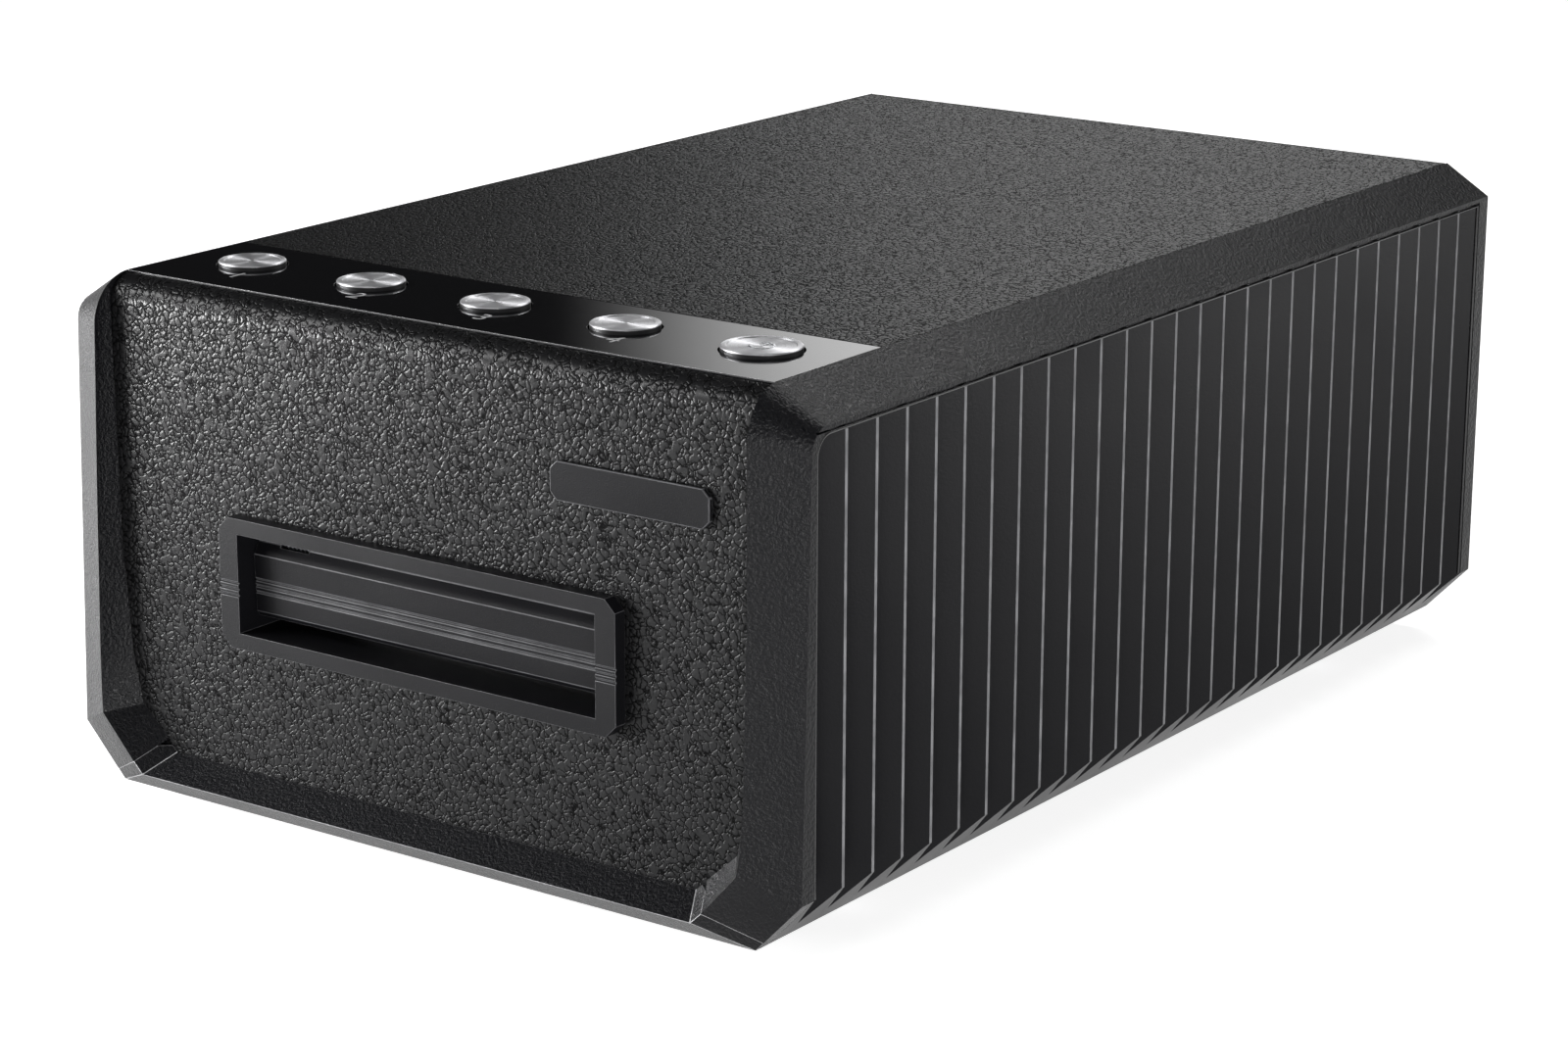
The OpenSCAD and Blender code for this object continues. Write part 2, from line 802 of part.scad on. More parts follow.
// Flat ribbon from the button board down and back to the main board
module ribbon_cable() {
    t = 0.4;
    w = 12;
    x = -72.4;
    y = button_y - w / 2;
    turn_y = -22;
    end_y = [-8, 2];
    low_z = 60;
    color(WHITE) {
        block([x, y, board_z - t], [-low_z, y + w, board_z]);
        block([x, y, low_z], [x + t, y + w, board_z]);
        block([x, y, low_z], [x + t, turn_y, low_z + w]);
        translate([0, 0, low_z]) linear_extrude(w)
            polygon([
                [x, turn_y], [main_board_x - t, end_y[0]], [main_board_x - t, end_y[1]],
                [main_board_x, end_y[1]], [main_board_x, end_y[0] - t / 2], [x + t, turn_y - t / 2]
            ]);
    }
}

// Upright main board at the left with its chips
module main_board() {
    chip_t = 2;
    chips = [[10, 30, 14], [40, 50, 18], [66, 24, 10], [88, 60, 12]];
    color(GREEN)
        block([main_board_x, main_board_y0, inner_floor_z], [io_x, io_y - 0.5, main_board_top_z]);
    color(RUBBER) for (c = chips)
        block([io_x - eps, c[0], c[1]], [io_x + chip_t, c[0] + c[2], c[1] + c[2]]);
}

// Round power socket on the main board
module dc_jack() {
    y0 = rear_face_y - 13;
    x = io_x + jack_w / 2;
    color(RUBBER) {
        difference() {
            union() {
                block(
                    [io_x, y0, jack_z - jack_w / 2],
                    [io_x + jack_w, io_y - 0.1, jack_z + jack_w / 2]
                );
                bar_y([x, jack_z], jack_nose_d, y0 + 1, rear_face_y);
            }
            bar_y([x, jack_z], jack_bore_d, rear_face_y - 9, back_y);
        }
        bar_y([x, jack_z], jack_pin_d, rear_face_y - 10, rear_face_y - 0.6);
    }
}

// Square data socket on the main board
module usb_port() {
    y0 = rear_face_y - 16;
    x0 = io_x + 0.4;
    color(STEEL) {
        difference() {
            block([io_x, y0, usb_z - usb_h / 2], [io_x + usb_w, rear_face_y - 0.2, usb_z + usb_h / 2]);
            block([x0 + 1.2, rear_face_y - 9, usb_z - 4.2], [x0 + 9, back_y, usb_z + 4.2]);
        }
        block([x0 + 3.4, rear_face_y - 10, usb_z - 2.8], [x0 + 6.6, rear_face_y - 1, usb_z + 2.8]);
    }
}

// ---------------------------------------------------------------- film transport

// One transport side plate with its shaft holes and pinch slots, s is -1 or 1
module transport_plate(s) {
    x0 = s > 0 ? channel_half_w : -plate_x;
    color(STEEL) difference() {
        block([x0, plate_y0, inner_floor_z], [x0 + plate_t, plate_y1, plate_top_z]);
        for (y = [front_roller_y, rear_roller_y]) {
            bar_x([y, roller_z], bush_d + 0.06, x0 - 1, x0 + plate_t + 1);
            along_x(x0 - 1, x0 + plate_t + 1) {
                translate([y - pinch_axle_d / 2 - slot_fit, pinch_z])
                    square([pinch_axle_d + 2 * slot_fit, pinch_lift]);
                translate([y, pinch_z]) circle(d = pinch_axle_d + 2 * slot_fit);
                translate([y, pinch_z + pinch_lift]) circle(d = pinch_axle_d + 2 * slot_fit);
            }
        }
        if (s > 0) {
            bar_x(motor_pos, motor_boss_d + 0.2, x0 - 1, x0 + plate_t + 1);
            bar_x(post_pos, post_d + pin_hold, x0 - 1, x0 + plate_t + 1);
        }
        block([x0 - 1, plate_gap_y[0], 0], [x0 + plate_t + 1, plate_gap_y[1], plate_gap_z]);
    }
}

module transport_plate_left() { transport_plate(-1); }
module transport_plate_right() { transport_plate(1); }

// Openings in a film guide for the rollers and for the scan line
module guide_cuts(z0, z1, w, half_len) {
    for (x = [-1, 1], y = [front_roller_y, rear_roller_y])
        block([x * tyre_x - w / 2, y - half_len, z0], [x * tyre_x + w / 2, y + half_len, z1]);
    block([-scan_half_w, scan_y - scan_slot / 2, z0], [scan_half_w, scan_y + scan_slot / 2, z1]);
}

// Lower film guide with a sloping lead-in
module lower_film_guide() {
    z0 = guide_z - guide_t;
    w = channel_half_w - 0.05;
    color(SATIN) difference() {
        along_x(-w, w)
            polygon([
                [collar_back_y + 1, z0 - 1.6], [plate_y0 + 4, z0], [plate_y1, z0], [plate_y1, guide_z],
                [plate_y0 + 4, guide_z], [collar_back_y + 1, guide_z - guide_drop]
            ]);
        guide_cuts(z0 - 3, guide_z + 1, tyre_w + 2, tyre_r + 1);
    }
}

// Upper film guide, flared at its front, with the bridges that hold the pinch springs
module upper_film_guide() {
    z0 = channel_top_z;
    w = channel_half_w - 0.05;
    color(SATIN) difference() {
        union() {
            along_x(-w, w)
                polygon([
                    [guide_mouth_y, z0 + 4], [guide_bend_y, z0], [plate_y1, z0], [plate_y1, z0 + guide_t],
                    [guide_bend_y + 0.8, z0 + guide_t], [guide_mouth_y, z0 + 6.4]
                ]);
            for (y = [front_roller_y, rear_roller_y]) {
                top = bridge_z + bridge_t;
                block([-w, y - bridge_w / 2, bridge_z], [w, y + bridge_w / 2, top]);
                both_sides() {
                    block([w - bridge_t, y - bridge_w, z0 + 1], [w, y - bridge_w / 2, top]);
                    block([w - bridge_t, y + bridge_w / 2, z0 + 1], [w, y + bridge_w, top]);
                    block([w - bridge_t, y - bridge_w / 2 - 1, bridge_z], [w, y + bridge_w / 2 + 1, top]);
                }
            }
        }
        guide_cuts(z0 - 1, z0 + guide_t + 1, tyre_w, pinch_r + 1.5);
        for (x = [-spring_x, spring_x], y = [front_roller_y, rear_roller_y])
            translate([x, y, z0 - 1]) cylinder(d = spring_hole_d, h = guide_t + 2);
        for (y = [front_roller_y, rear_roller_y])
            block([-w - 1, y - sleeve_slot / 2, z0 - 1], [w + 1, y + sleeve_slot / 2, z0 + guide_t + 1]);
    }
}

// Flanged bushes of both drive shafts
module shaft_bushes() {
    outer = plate_x + 0.8;
    rim = channel_half_w - running_fit;
    color(BRASS) for (y = [front_roller_y, rear_roller_y], s = [-1, 1])
        difference() {
            union() {
                bar_x([y, roller_z], bush_d, min(s * outer, s * bush_x), max(s * outer, s * bush_x));
                bar_x([y, roller_z], bush_flange_d, min(s * rim, s * bush_x), max(s * rim, s * bush_x));
            }
            bar_x([y, roller_z], shaft_d + 2 * running_fit, -60, 60);
        }
}

// Steel shaft of a drive roller
module roller_shaft(y) {
    color(STEEL) bar_x([y, roller_z], shaft_d, shaft_end_x, pulley_x0 + belt_w + 3.6);
}

module front_roller_shaft() { roller_shaft(front_roller_y); }
module rear_roller_shaft() { roller_shaft(rear_roller_y); }

// The two rubber tyres on a drive shaft
module roller_tyres(y) {
    color(RUBBER) for (x = [-tyre_x, tyre_x])
        difference() {
            bar_x([y, roller_z], 2 * tyre_r, x - tyre_w / 2, x + tyre_w / 2);
            bar_x([y, roller_z], shaft_d, x - tyre_w, x + tyre_w);
        }
}

module front_roller_tyres() { roller_tyres(front_roller_y); }
module rear_roller_tyres() { roller_tyres(rear_roller_y); }

// Angle by which an involute has turned at radius r, in degrees
function involute_angle(base, r) = let (a = acos(min(1, base / r))) tan(a) * 180 / PI - a;

// Outline of an involute spur gear with a tooth centred on the +x direction
function gear_outline(teeth) =
    let (
        pitch_r = gear_module * teeth / 2,
        base = pitch_r * cos(20),
        root = pitch_r - 1.25 * gear_module,
        tip = pitch_r + 0.9 * gear_module,
        slack = 0.07 / pitch_r * 180 / PI,
        half = 90 / teeth - slack + involute_angle(base, pitch_r),
        start = max(base, root),
        radii = [root, start, (start + pitch_r) / 2, pitch_r, tip]
    ) [
        for (t = [0 : teeth - 1], side = [-1, 1], k = [0 : 4])
            let (
                r = radii[side < 0 ? k : 4 - k],
                a = t * 360 / teeth + side * (half - involute_angle(base, max(r, start)))
            ) r * [cos(a), sin(a)]
    ];

// A gear at a Y-Z position; lead is the direction that faces the middle of a tooth
module gear(pos, teeth, lead, x0, x1) {
    translate([x0, pos[0], pos[1]]) rotate([90, 0, 90]) linear_extrude(x1 - x0) rotate(lead)
        polygon(gear_outline(teeth));
}

// Direction in the Y-Z plane from one position to another
function heading(from, to) = atan2(to[1] - from[1], to[0] - from[0]);

// Motor can, flange and boss on the right plate
module stepper_motor() {
    x1 = channel_half_w - 0.05;
    color(STEEL) difference() {
        union() {
            bar_x(motor_pos, motor_d, x1 - 1 - motor_len, x1 - 1);
            bar_x(motor_pos, motor_boss_d, x1 - 2, x1 + 3);
            along_x(x1 - motor_flange_t, x1) {
                translate(motor_pos - motor_ear / 2) square(motor_ear);
                translate(motor_pos) circle(d = motor_d);
            }
        }
        bar_x(motor_pos, motor_shaft_d + 2 * running_fit, 0, 60);
    }
}

// Motor shaft with its brass pinion
module motor_pinion() {
    color(BRASS) {
        bar_x(motor_pos, motor_shaft_d, channel_half_w - 12, gear_x0 + gear_w + 0.4);
        gear(
            motor_pos, small_teeth, heading(motor_pos, post_pos) + 180 / small_teeth,
            gear_x0 - 0.4, gear_x0 + gear_w + 0.4
        );
    }
}

// Post that the reduction gear turns on
module gear_post() {
    color(STEEL) bar_x(post_pos, post_d, channel_half_w, second_x0 + gear_w + 1.4);
}

// Two-step reduction gear
module reduction_gear() {
    color(WHITE) difference() {
        union() {
            gear(post_pos, large_teeth, heading(post_pos, motor_pos), gear_x0, gear_x0 + gear_w);
            gear(
                post_pos, small_teeth, heading(post_pos, roller_pos) + 180 / small_teeth,
                gear_x0 + gear_w - eps, second_x0 + gear_w + 0.6
            );
            bar_x(post_pos, 6, gear_x0 - 0.8, gear_x0 + eps);
        }
        bar_x(post_pos, post_d + 2 * running_fit, 30, 80);
    }
}

// A flanged belt pulley at a Y position
module pulley(y) {
    bar_x([y, roller_z], 2 * pulley_r, pulley_x0 - 1, pulley_x0 + belt_w + 1);
    bar_x([y, roller_z], 2 * pulley_r + 3, pulley_x0 - 1, pulley_x0 - 0.2);
    bar_x([y, roller_z], 2 * pulley_r + 3, pulley_x0 + belt_w + 0.2, pulley_x0 + belt_w + 1);
}

// Roller gear and pulley in one moulding
module front_roller_gear() {
    color(WHITE) difference() {
        union() {
            gear(roller_pos, large_teeth, heading(roller_pos, post_pos), second_x0, second_x0 + gear_w);
            bar_x(roller_pos, 9, second_x0 + gear_w - eps, pulley_x0);
            pulley(front_roller_y);
        }
        bar_x(roller_pos, shaft_d, 0, 90);
    }
}

module rear_pulley() {
    color(WHITE) difference() {
        pulley(rear_roller_y);
        bar_x([rear_roller_y, roller_z], shaft_d, 0, 90);
    }
}

// Flat belt round both pulleys
module drive_belt() {
    r = pulley_r + 0.08;
    color(RUBBER) along_x(pulley_x0, pulley_x0 + belt_w) difference() {
        belt_band(r + belt_t);
        belt_band(r);
    }
}

// A round-ended band outline round both roller axes
module belt_band(r) {
    for (y = [front_roller_y, rear_roller_y])
        translate([y, roller_z]) circle(r = r);
    translate([front_roller_y, roller_z - r]) square([rear_roller_y - front_roller_y, 2 * r]);
}

// Axle of a pinch roller pair
module pinch_axle(y) {
    color(STEEL) bar_x([y, pinch_z], pinch_axle_d, -plate_x - 1.5, plate_x + 1.5);
}

module front_pinch_axle() { pinch_axle(front_roller_y); }
module rear_pinch_axle() { pinch_axle(rear_roller_y); }

// Two pinch rollers joined by a thin sleeve
module pinch_rollers(y) {
    color(WHITE) difference() {
        union() {
            for (x = [-tyre_x, tyre_x])
                bar_x([y, pinch_z], 2 * pinch_r, x - pinch_w / 2, x + pinch_w / 2);
            bar_x([y, pinch_z], pinch_axle_d + 2, -tyre_x, tyre_x);
        }
        bar_x([y, pinch_z], pinch_axle_d + 2 * running_fit, -60, 60);
    }
}

module front_pinch_rollers() { pinch_rollers(front_roller_y); }
module rear_pinch_rollers() { pinch_rollers(rear_roller_y); }

// A coil spring standing on z0, swept along its helix
module coil(pos, z0, z1, r, wire, turns) {
    rings = 12 * turns;
    sides = 6;
    points = [
        for (i = [0 : rings], k = [0 : sides - 1])
            let (
                a = 360 * i / 12,
                b = 360 * k / sides,
                q = r + wire * cos(b),
                rise = (z1 - z0 - 2 * wire) * i / rings
            ) [pos[0] + q * cos(a), pos[1] + q * sin(a), z0 + wire + rise + wire * sin(b)]
    ];
    tube = [
        for (i = [0 : rings - 1], k = [0 : sides - 1])
            let (
                n = (k + 1) % sides
            ) each [
                [i * sides + k, (i + 1) * sides + k, (i + 1) * sides + n],
                [i * sides + k, (i + 1) * sides + n, i * sides + n]
            ]
    ];
    ends = [
        [for (k = [0 : sides - 1]) k],
        [for (k = [sides - 1 : -1 : 0]) rings * sides + k]
    ];
    polyhedron(points, concat(tube, ends));
}

// The two springs that press a pinch axle down
module pinch_springs(y) {
    color(STEEL) for (x = [-spring_x, spring_x])
        coil([x, y], spring_z0, bridge_z, spring_r, spring_wire_r, spring_turns);
}

module front_pinch_springs() { pinch_springs(front_roller_y); }
module rear_pinch_springs() { pinch_springs(rear_roller_y); }

// ---------------------------------------------------------------- light and optics

// Lamp house over the scan line, open below
module light_housing() {
    z0 = channel_top_z + guide_t;
    color(WHITE) difference() {
        block([-lamp_half_w, scan_y - scan_reach, z0], [lamp_half_w, scan_y + scan_reach, z0 + lamp_h]);
        block(
            [-lamp_half_w + lamp_wall, scan_y - scan_reach + lamp_wall, z0 - 1],
            [lamp_half_w - lamp_wall, scan_y + scan_reach - lamp_wall, z0 + lamp_h - lamp_wall]
        );
    }
}

// Strip of white light-emitting diodes under the lamp house roof
module led_board() {
    z1 = channel_top_z + guide_t + lamp_h - lamp_wall;
    w = lamp_half_w - lamp_wall - 1;
    half = led_size / 2;
    color(WHITE) {
        block([-w, scan_y - 6, z1 - board_t], [w, scan_y + 6, z1]);
        for (i = [-4 : 4])
            translate([i * led_pitch, scan_y, z1 - board_t])
                block([-half, -half, -1], [half, half, 0.1]);
    }
}

// Opal plate that evens the light
module diffuser() {
    z0 = channel_top_z + guide_t;
    w = lamp_half_w - lamp_wall - 0.1;
    d = scan_reach - lamp_wall - 0.1;
    color(WHITE) block([-w, scan_y - d, z0], [w, scan_y + d, z0 + diffuser_t]);
}

// Moulded cradle that carries mirror, lens and sensor
module optics_cradle() {
    z0 = inner_floor_z;
    color(SATIN) difference() {
        union() {
            block([-cradle_x, scan_y - scan_reach, z0], [cradle_x, sensor_y + 6, z0 + cradle_t]);
            both_sides()
                block(
                    [cradle_x - cheek_t, scan_y - scan_reach, z0],
                    [cradle_x, scan_y + scan_reach, cheek_z]
                );
            block([-12, barrel_seat_y[0], z0], [12, barrel_seat_y[1], optic_z + 9]);
            both_sides()
                block([21, sensor_y + board_t + 0.05, z0], [25, sensor_y + 5, sensor_z[1]]);
        }
        bar_y([0, optic_z], barrel_d + pin_hold, 0, 50);
        mirror_slab(0.05);
    }
}

// Tilted slab along the mirror's place, grown by a margin
module mirror_slab(margin) {
    half = mirror_half + [margin, margin, margin];
    translate([0, scan_y, optic_z]) rotate([45, 0, 0]) block(-half, half);
}

// First-surface mirror at 45 degrees under the scan line
module scan_mirror() {
    color(GLASS) mirror_slab(0);
}

// Round lens barrel
module lens_barrel() {
    color(RUBBER) difference() {
        bar_y([0, optic_z], barrel_d, barrel_y[0], barrel_y[1]);
        bar_y([0, optic_z], lens_d, barrel_y[0] - 1, barrel_y[1] + 1);
    }
}

// Front and rear glass of the lens
module lens_glass() {
    color(GLASS) for (y = lens_y)
        bar_y([0, optic_z], lens_d, y, y + lens_t);
}

// Upright board with the line sensor
module sensor_board() {
    color(GREEN) block([-sensor_x, sensor_y, sensor_z[0]], [sensor_x, sensor_y + board_t, sensor_z[1]]);
    color(RUBBER) block([-20, sensor_y - 3, optic_z - 4], [20, sensor_y + eps, optic_z + 4]);
}

// ---------------------------------------------------------------- feet and screws

// Four rubber feet set into the base
module rubber_feet() {
    color(RUBBER) for (x = [-1, 1], y = [-1, 1])
        translate([x * foot_pos[0], y * foot_pos[1], 0]) rotate_extrude()
            polygon([
                [0, 0], [foot_d / 2 - foot_edge, 0], [foot_d / 2, foot_edge],
                [foot_d / 2, floor_z + foot_sink], [0, floor_z + foot_sink]
            ]);
}

// Four screws that hold the base to the side frames
module case_screws() {
    color(STEEL) for (x = [-1, 1], y = [-1, 1])
        translate([x * screw_pos[0], y * screw_pos[1], floor_z + 0.2]) difference() {
            union() {
                cylinder(d = screw_d, h = screw_len);
                cylinder(d = screw_head_d, h = screw_head_h);
            }
            translate([0, 0, -eps]) cylinder(d = screw_key_d, h = 0.8, $fn = 6);
        }
}

base_tray();
left_side_frame();
right_side_frame();
left_pleated_panel();
right_pleated_panel();
front_panel();
top_cover();
control_panel();
rear_panel();
slot_bezel();
badge_plate();
flap_pins();
flap_spring();
dust_flap();
rear_flap();
button_cap_1();
button_cap_2();
button_cap_3();
button_cap_4();
power_button_cap();
button_board();
tact_switches();
ribbon_cable();
main_board();
dc_jack();
usb_port();
transport_plate_left();
transport_plate_right();
lower_film_guide();
upper_film_guide();
shaft_bushes();
stepper_motor();
motor_pinion();
gear_post();
reduction_gear();
front_roller_shaft();
front_roller_tyres();
front_roller_gear();
rear_roller_shaft();
rear_roller_tyres();
rear_pulley();
drive_belt();
front_pinch_axle();
front_pinch_rollers();
front_pinch_springs();
rear_pinch_axle();
rear_pinch_rollers();
rear_pinch_springs();
light_housing();
led_board();
diffuser();
optics_cradle();
scan_mirror();
lens_barrel();
lens_glass();
sensor_board();
rubber_feet();
case_screws();
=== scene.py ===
"""Film negative scanner: its finishes and fine detail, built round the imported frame.

Lengths are metres, or millimetres where a name ends in _mm. Places are in the frame's own
coordinates: +X to the right seen from the front, -Y out of the front, +Z up.
"""

import logging
import math
from abc import ABC, abstractmethod
from dataclasses import dataclass, replace
from enum import Enum
from typing import Callable, Iterable, Optional, Sequence, Union

import bmesh
import bpy
from mathutils import Matrix, Vector


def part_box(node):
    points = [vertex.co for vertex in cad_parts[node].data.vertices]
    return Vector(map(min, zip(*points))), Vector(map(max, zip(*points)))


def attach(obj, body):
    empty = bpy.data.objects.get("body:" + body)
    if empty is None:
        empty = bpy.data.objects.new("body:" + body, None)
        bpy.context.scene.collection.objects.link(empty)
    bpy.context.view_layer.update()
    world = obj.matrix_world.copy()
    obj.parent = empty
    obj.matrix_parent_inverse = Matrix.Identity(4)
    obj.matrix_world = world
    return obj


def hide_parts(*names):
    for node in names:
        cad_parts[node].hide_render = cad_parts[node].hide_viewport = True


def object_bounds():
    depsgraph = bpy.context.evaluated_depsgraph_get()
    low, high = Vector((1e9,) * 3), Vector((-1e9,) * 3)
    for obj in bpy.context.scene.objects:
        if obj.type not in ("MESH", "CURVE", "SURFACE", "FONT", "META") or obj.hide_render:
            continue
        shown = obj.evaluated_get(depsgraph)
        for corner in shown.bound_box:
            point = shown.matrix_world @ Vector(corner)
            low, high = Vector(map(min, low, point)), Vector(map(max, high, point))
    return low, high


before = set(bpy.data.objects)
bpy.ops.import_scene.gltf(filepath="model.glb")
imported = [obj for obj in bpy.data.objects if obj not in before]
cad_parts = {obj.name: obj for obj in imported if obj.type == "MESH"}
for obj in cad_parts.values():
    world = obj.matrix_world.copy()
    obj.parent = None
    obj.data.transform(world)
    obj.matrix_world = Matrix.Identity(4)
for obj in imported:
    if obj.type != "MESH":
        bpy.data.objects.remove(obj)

CAD_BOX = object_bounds()
LOG = logging.getLogger("film_scanner")
MM = 0.001
WELD_GAP = 1e-6
CAD_WELD_GAP = 2e-6
CAD_FLAT_ANGLE = math.radians(0.6)
HARD_EDGE_ANGLE = math.radians(24)
HOUSING = "housing"
# The face attribute that says where a painted edge highlight goes, and how strongly
HIGHLIGHT_MARK = "edge"

Colour = tuple[float, float, float]
Socket = bpy.types.NodeSocket
Value = Union[Socket, float, Sequence[float]]
Pair = tuple[float, float]
Piece = bpy.types.Object
Level = Callable[[Vector, Vector, bool], float]
Item = Union[bmesh.types.BMVert, bmesh.types.BMEdge, bmesh.types.BMFace]


# ---- material graphs


class Graph:
    """A node tree, with a short call for each kind of node."""

    def __init__(self, tree: bpy.types.NodeTree) -> None:
        """Works on a tree."""
        self.tree = tree

    def add(self, kind: str, **settings: object) -> bpy.types.Node:
        """Adds a node.

        Args:
            kind: The node's Blender type.
            settings: Attributes to set on it.

        Returns:
            The new node.
        """
        node = self.tree.nodes.new(kind)
        for key, value in settings.items():
            setattr(node, key, value)
        return node

    def feed(self, target: Socket, value: Value) -> None:
        """Links a socket to an input, or sets the input's own value.

        Args:
            target: The input.
            value: The socket to link, or the value to set.
        """
        if isinstance(value, bpy.types.NodeSocket):
            self.tree.links.new(value, target)
        else:
            target.default_value = value

    def place(self, stretch: Sequence[float] = (1, 1, 1)) -> Socket:
        """The object's own coordinates, in metres, stretched along its axes.

        Args:
            stretch: The factor along each axis.

        Returns:
            The coordinates.
        """
        coordinates = self.add("ShaderNodeTexCoord").outputs["Object"]
        mapping = self.add("ShaderNodeMapping")
        mapping.inputs["Scale"].default_value = stretch
        self.feed(mapping.inputs["Vector"], coordinates)
        return mapping.outputs["Vector"]

    def noise(self, size_mm: float, at: Optional[Socket] = None, detail: float = 2,
              rough: float = 0.5, output: str = "Fac") -> Socket:
        """A noise texture.

        Args:
            size_mm: The size of its blotches.
            at: Where it is read, or None for the object's coordinates.
            detail: Its number of finer layers.
            rough: How strong the finer layers are.
            output: Which of its results is asked for, Fac or Color.

        Returns:
            That result.
        """
        node = self.add("ShaderNodeTexNoise")
        self.feed(node.inputs["Vector"], at or self.place())
        node.inputs["Scale"].default_value = 1 / (size_mm * MM)
        node.inputs["Detail"].default_value = detail
        node.inputs["Roughness"].default_value = rough
        return node.outputs[output]

    def walls(self, per_metre: float, at: Socket, uneven: float = 1.0) -> Socket:
        """The distance to the nearest wall of a texture of cells.

        Args:
            per_metre: The number of cells in a metre.
            at: Where it is read.
            uneven: 0 for squared cells, 1 for scattered ones.

        Returns:
            The distance, as a share of a cell.
        """
        node = self.add("ShaderNodeTexVoronoi", feature="DISTANCE_TO_EDGE")
        self.feed(node.inputs["Vector"], at)
        node.inputs["Scale"].default_value = per_metre
        node.inputs["Randomness"].default_value = uneven
        return node.outputs["Distance"]

    def calc(self, operation: str, *values: Value, kind: str = "Math") -> Socket:
        """The result of a Math node.

        Args:
            operation: What it does.
            values: What it does it with.
            kind: Math, or VectorMath for vectors.

        Returns:
            The result.
        """
        node = self.add("ShaderNode" + kind, operation=operation)
        for socket, value in zip(node.inputs, values):
            self.feed(socket, value)
        return node.outputs[0]

    def remap(self, value: Value, low: float, high: float, to_low: float = 0.0,
              to_high: float = 1.0, smooth: bool = True) -> Socket:
        """A value carried from one range to another, held at both ends.

        Args:
            value: The value.
            low: Where the first range starts.
            high: Where it ends.
            to_low: Where the second range starts.
            to_high: Where it ends.
            smooth: Whether the change eases in and out.

        Returns:
            The value in the second range.
        """
        node = self.add("ShaderNodeMapRange", clamp=True)
        node.interpolation_type = "SMOOTHSTEP" if smooth else "LINEAR"
        for name, number in (("Value", value), ("From Min", low), ("From Max", high),
                             ("To Min", to_low), ("To Max", to_high)):
            self.feed(node.inputs[name], number)
        return node.outputs["Result"]

    def tint(self, factor: Value, low: Union[Colour, Socket], high: Colour) -> Socket:
        """A colour between two colours.

        Args:
            factor: The share of the second colour.
            low: The first colour, or the socket that gives it.
            high: The second colour.

        Returns:
            The colour between them.
        """
        node = self.add("ShaderNodeMix", data_type="RGBA")
        self.feed(node.inputs["Factor"], factor)
        ends = [socket for socket in node.inputs if socket.type == "RGBA"]
        for end, colour in zip(ends, (low, high)):
            self.feed(end, (*colour, 1) if isinstance(colour, tuple) else colour)
        return next(socket for socket in node.outputs if socket.type == "RGBA")

    def relief(self, height: Socket, depth_mm: float) -> Socket:
        """A bumped normal.

        Args:
            height: The relief, from 0 to 1.
            depth_mm: How deep that is on the surface.

        Returns:
            The normal.
        """
        node = self.add("ShaderNodeBump")
        node.inputs["Distance"].default_value = depth_mm * MM
        self.feed(node.inputs["Height"], height)
        return node.outputs["Normal"]


class Surface(Graph):
    """A material's node tree."""

    def __init__(self, name: str) -> None:
        """Starts a material that holds a Principled shader and its output.

        Args:
            name: The material's name.
        """
        self.material = bpy.data.materials.new(name)
        self.material.use_nodes = True
        super().__init__(self.material.node_tree)
        self.tree.nodes.clear()
        self.output = self.add("ShaderNodeOutputMaterial")
        self.shader = self.add("ShaderNodeBsdfPrincipled")
        self.tree.links.new(self.shader.outputs["BSDF"], self.output.inputs["Surface"])

    def set(self, **sockets: Value) -> None:
        """Sets or links shader inputs; an underscore in a name stands for a space."""
        for name, value in sockets.items():
            self.feed(self.shader.inputs[name.replace("_", " ")], value)


@dataclass(frozen=True)
class Finish(ABC):
    """A surface finish: what the maker asked for, and how it is drawn."""

    name: str
    slot: str  # Its material slot in the record
    colour: Colour  # Linear
    roughness: float
    specular: float = 0.5  # 0.5 for common plastic
    edge: Optional[Colour] = None  # The colour of the painted highlight on the marked edges, if they get one

    def material(self) -> bpy.types.Material:
        """The finish as a material, built the first time it is asked for.

        Returns:
            The material.
        """
        known = bpy.data.materials.get(self.name)
        if known:
            return known
        graph = Surface(self.name)
        graph.set(Base_Color=(*self.colour, 1), Roughness=self.roughness,
                  Specular_IOR_Level=self.specular)
        self.draw(graph)
        if self.edge:
            self.polish_edges(graph)
        return graph.material

    def polish_edges(self, graph: Surface) -> None:
        """Paints an uneven highlight on the marked edges.

        Args:
            graph: The material's graph.
        """
        mark = graph.add("ShaderNodeAttribute", attribute_type="GEOMETRY", attribute_name=HIGHLIGHT_MARK)
        # Noise makes the painted highlight patchy along the edges
        patchy_highlight = graph.remap(graph.noise(6, None, 3, 0.6), 0.3, 0.7, 0.55, 1)
        share = graph.calc("MULTIPLY", mark.outputs["Fac"], patchy_highlight)
        base = graph.shader.inputs["Base Color"]
        graph.feed(base, graph.tint(share, base.links[0].from_socket, self.edge))

    @abstractmethod
    def draw(self, graph: Surface) -> None:
        """Adds the finish's own colour, roughness and relief."""

    def shade(self, share: float) -> Colour:
        """The plain colour, lighter or darker by a share."""
        return tuple(channel * share for channel in self.colour)

    def gloss(self, graph: Surface, value: Socket, first: float, last: float,
              low: float = 0.3, high: float = 0.7) -> Socket:
        """The roughness, which gains first where a value is low, and last where it is high."""
        return graph.remap(value, low, high, self.roughness + first, self.roughness + last, False)


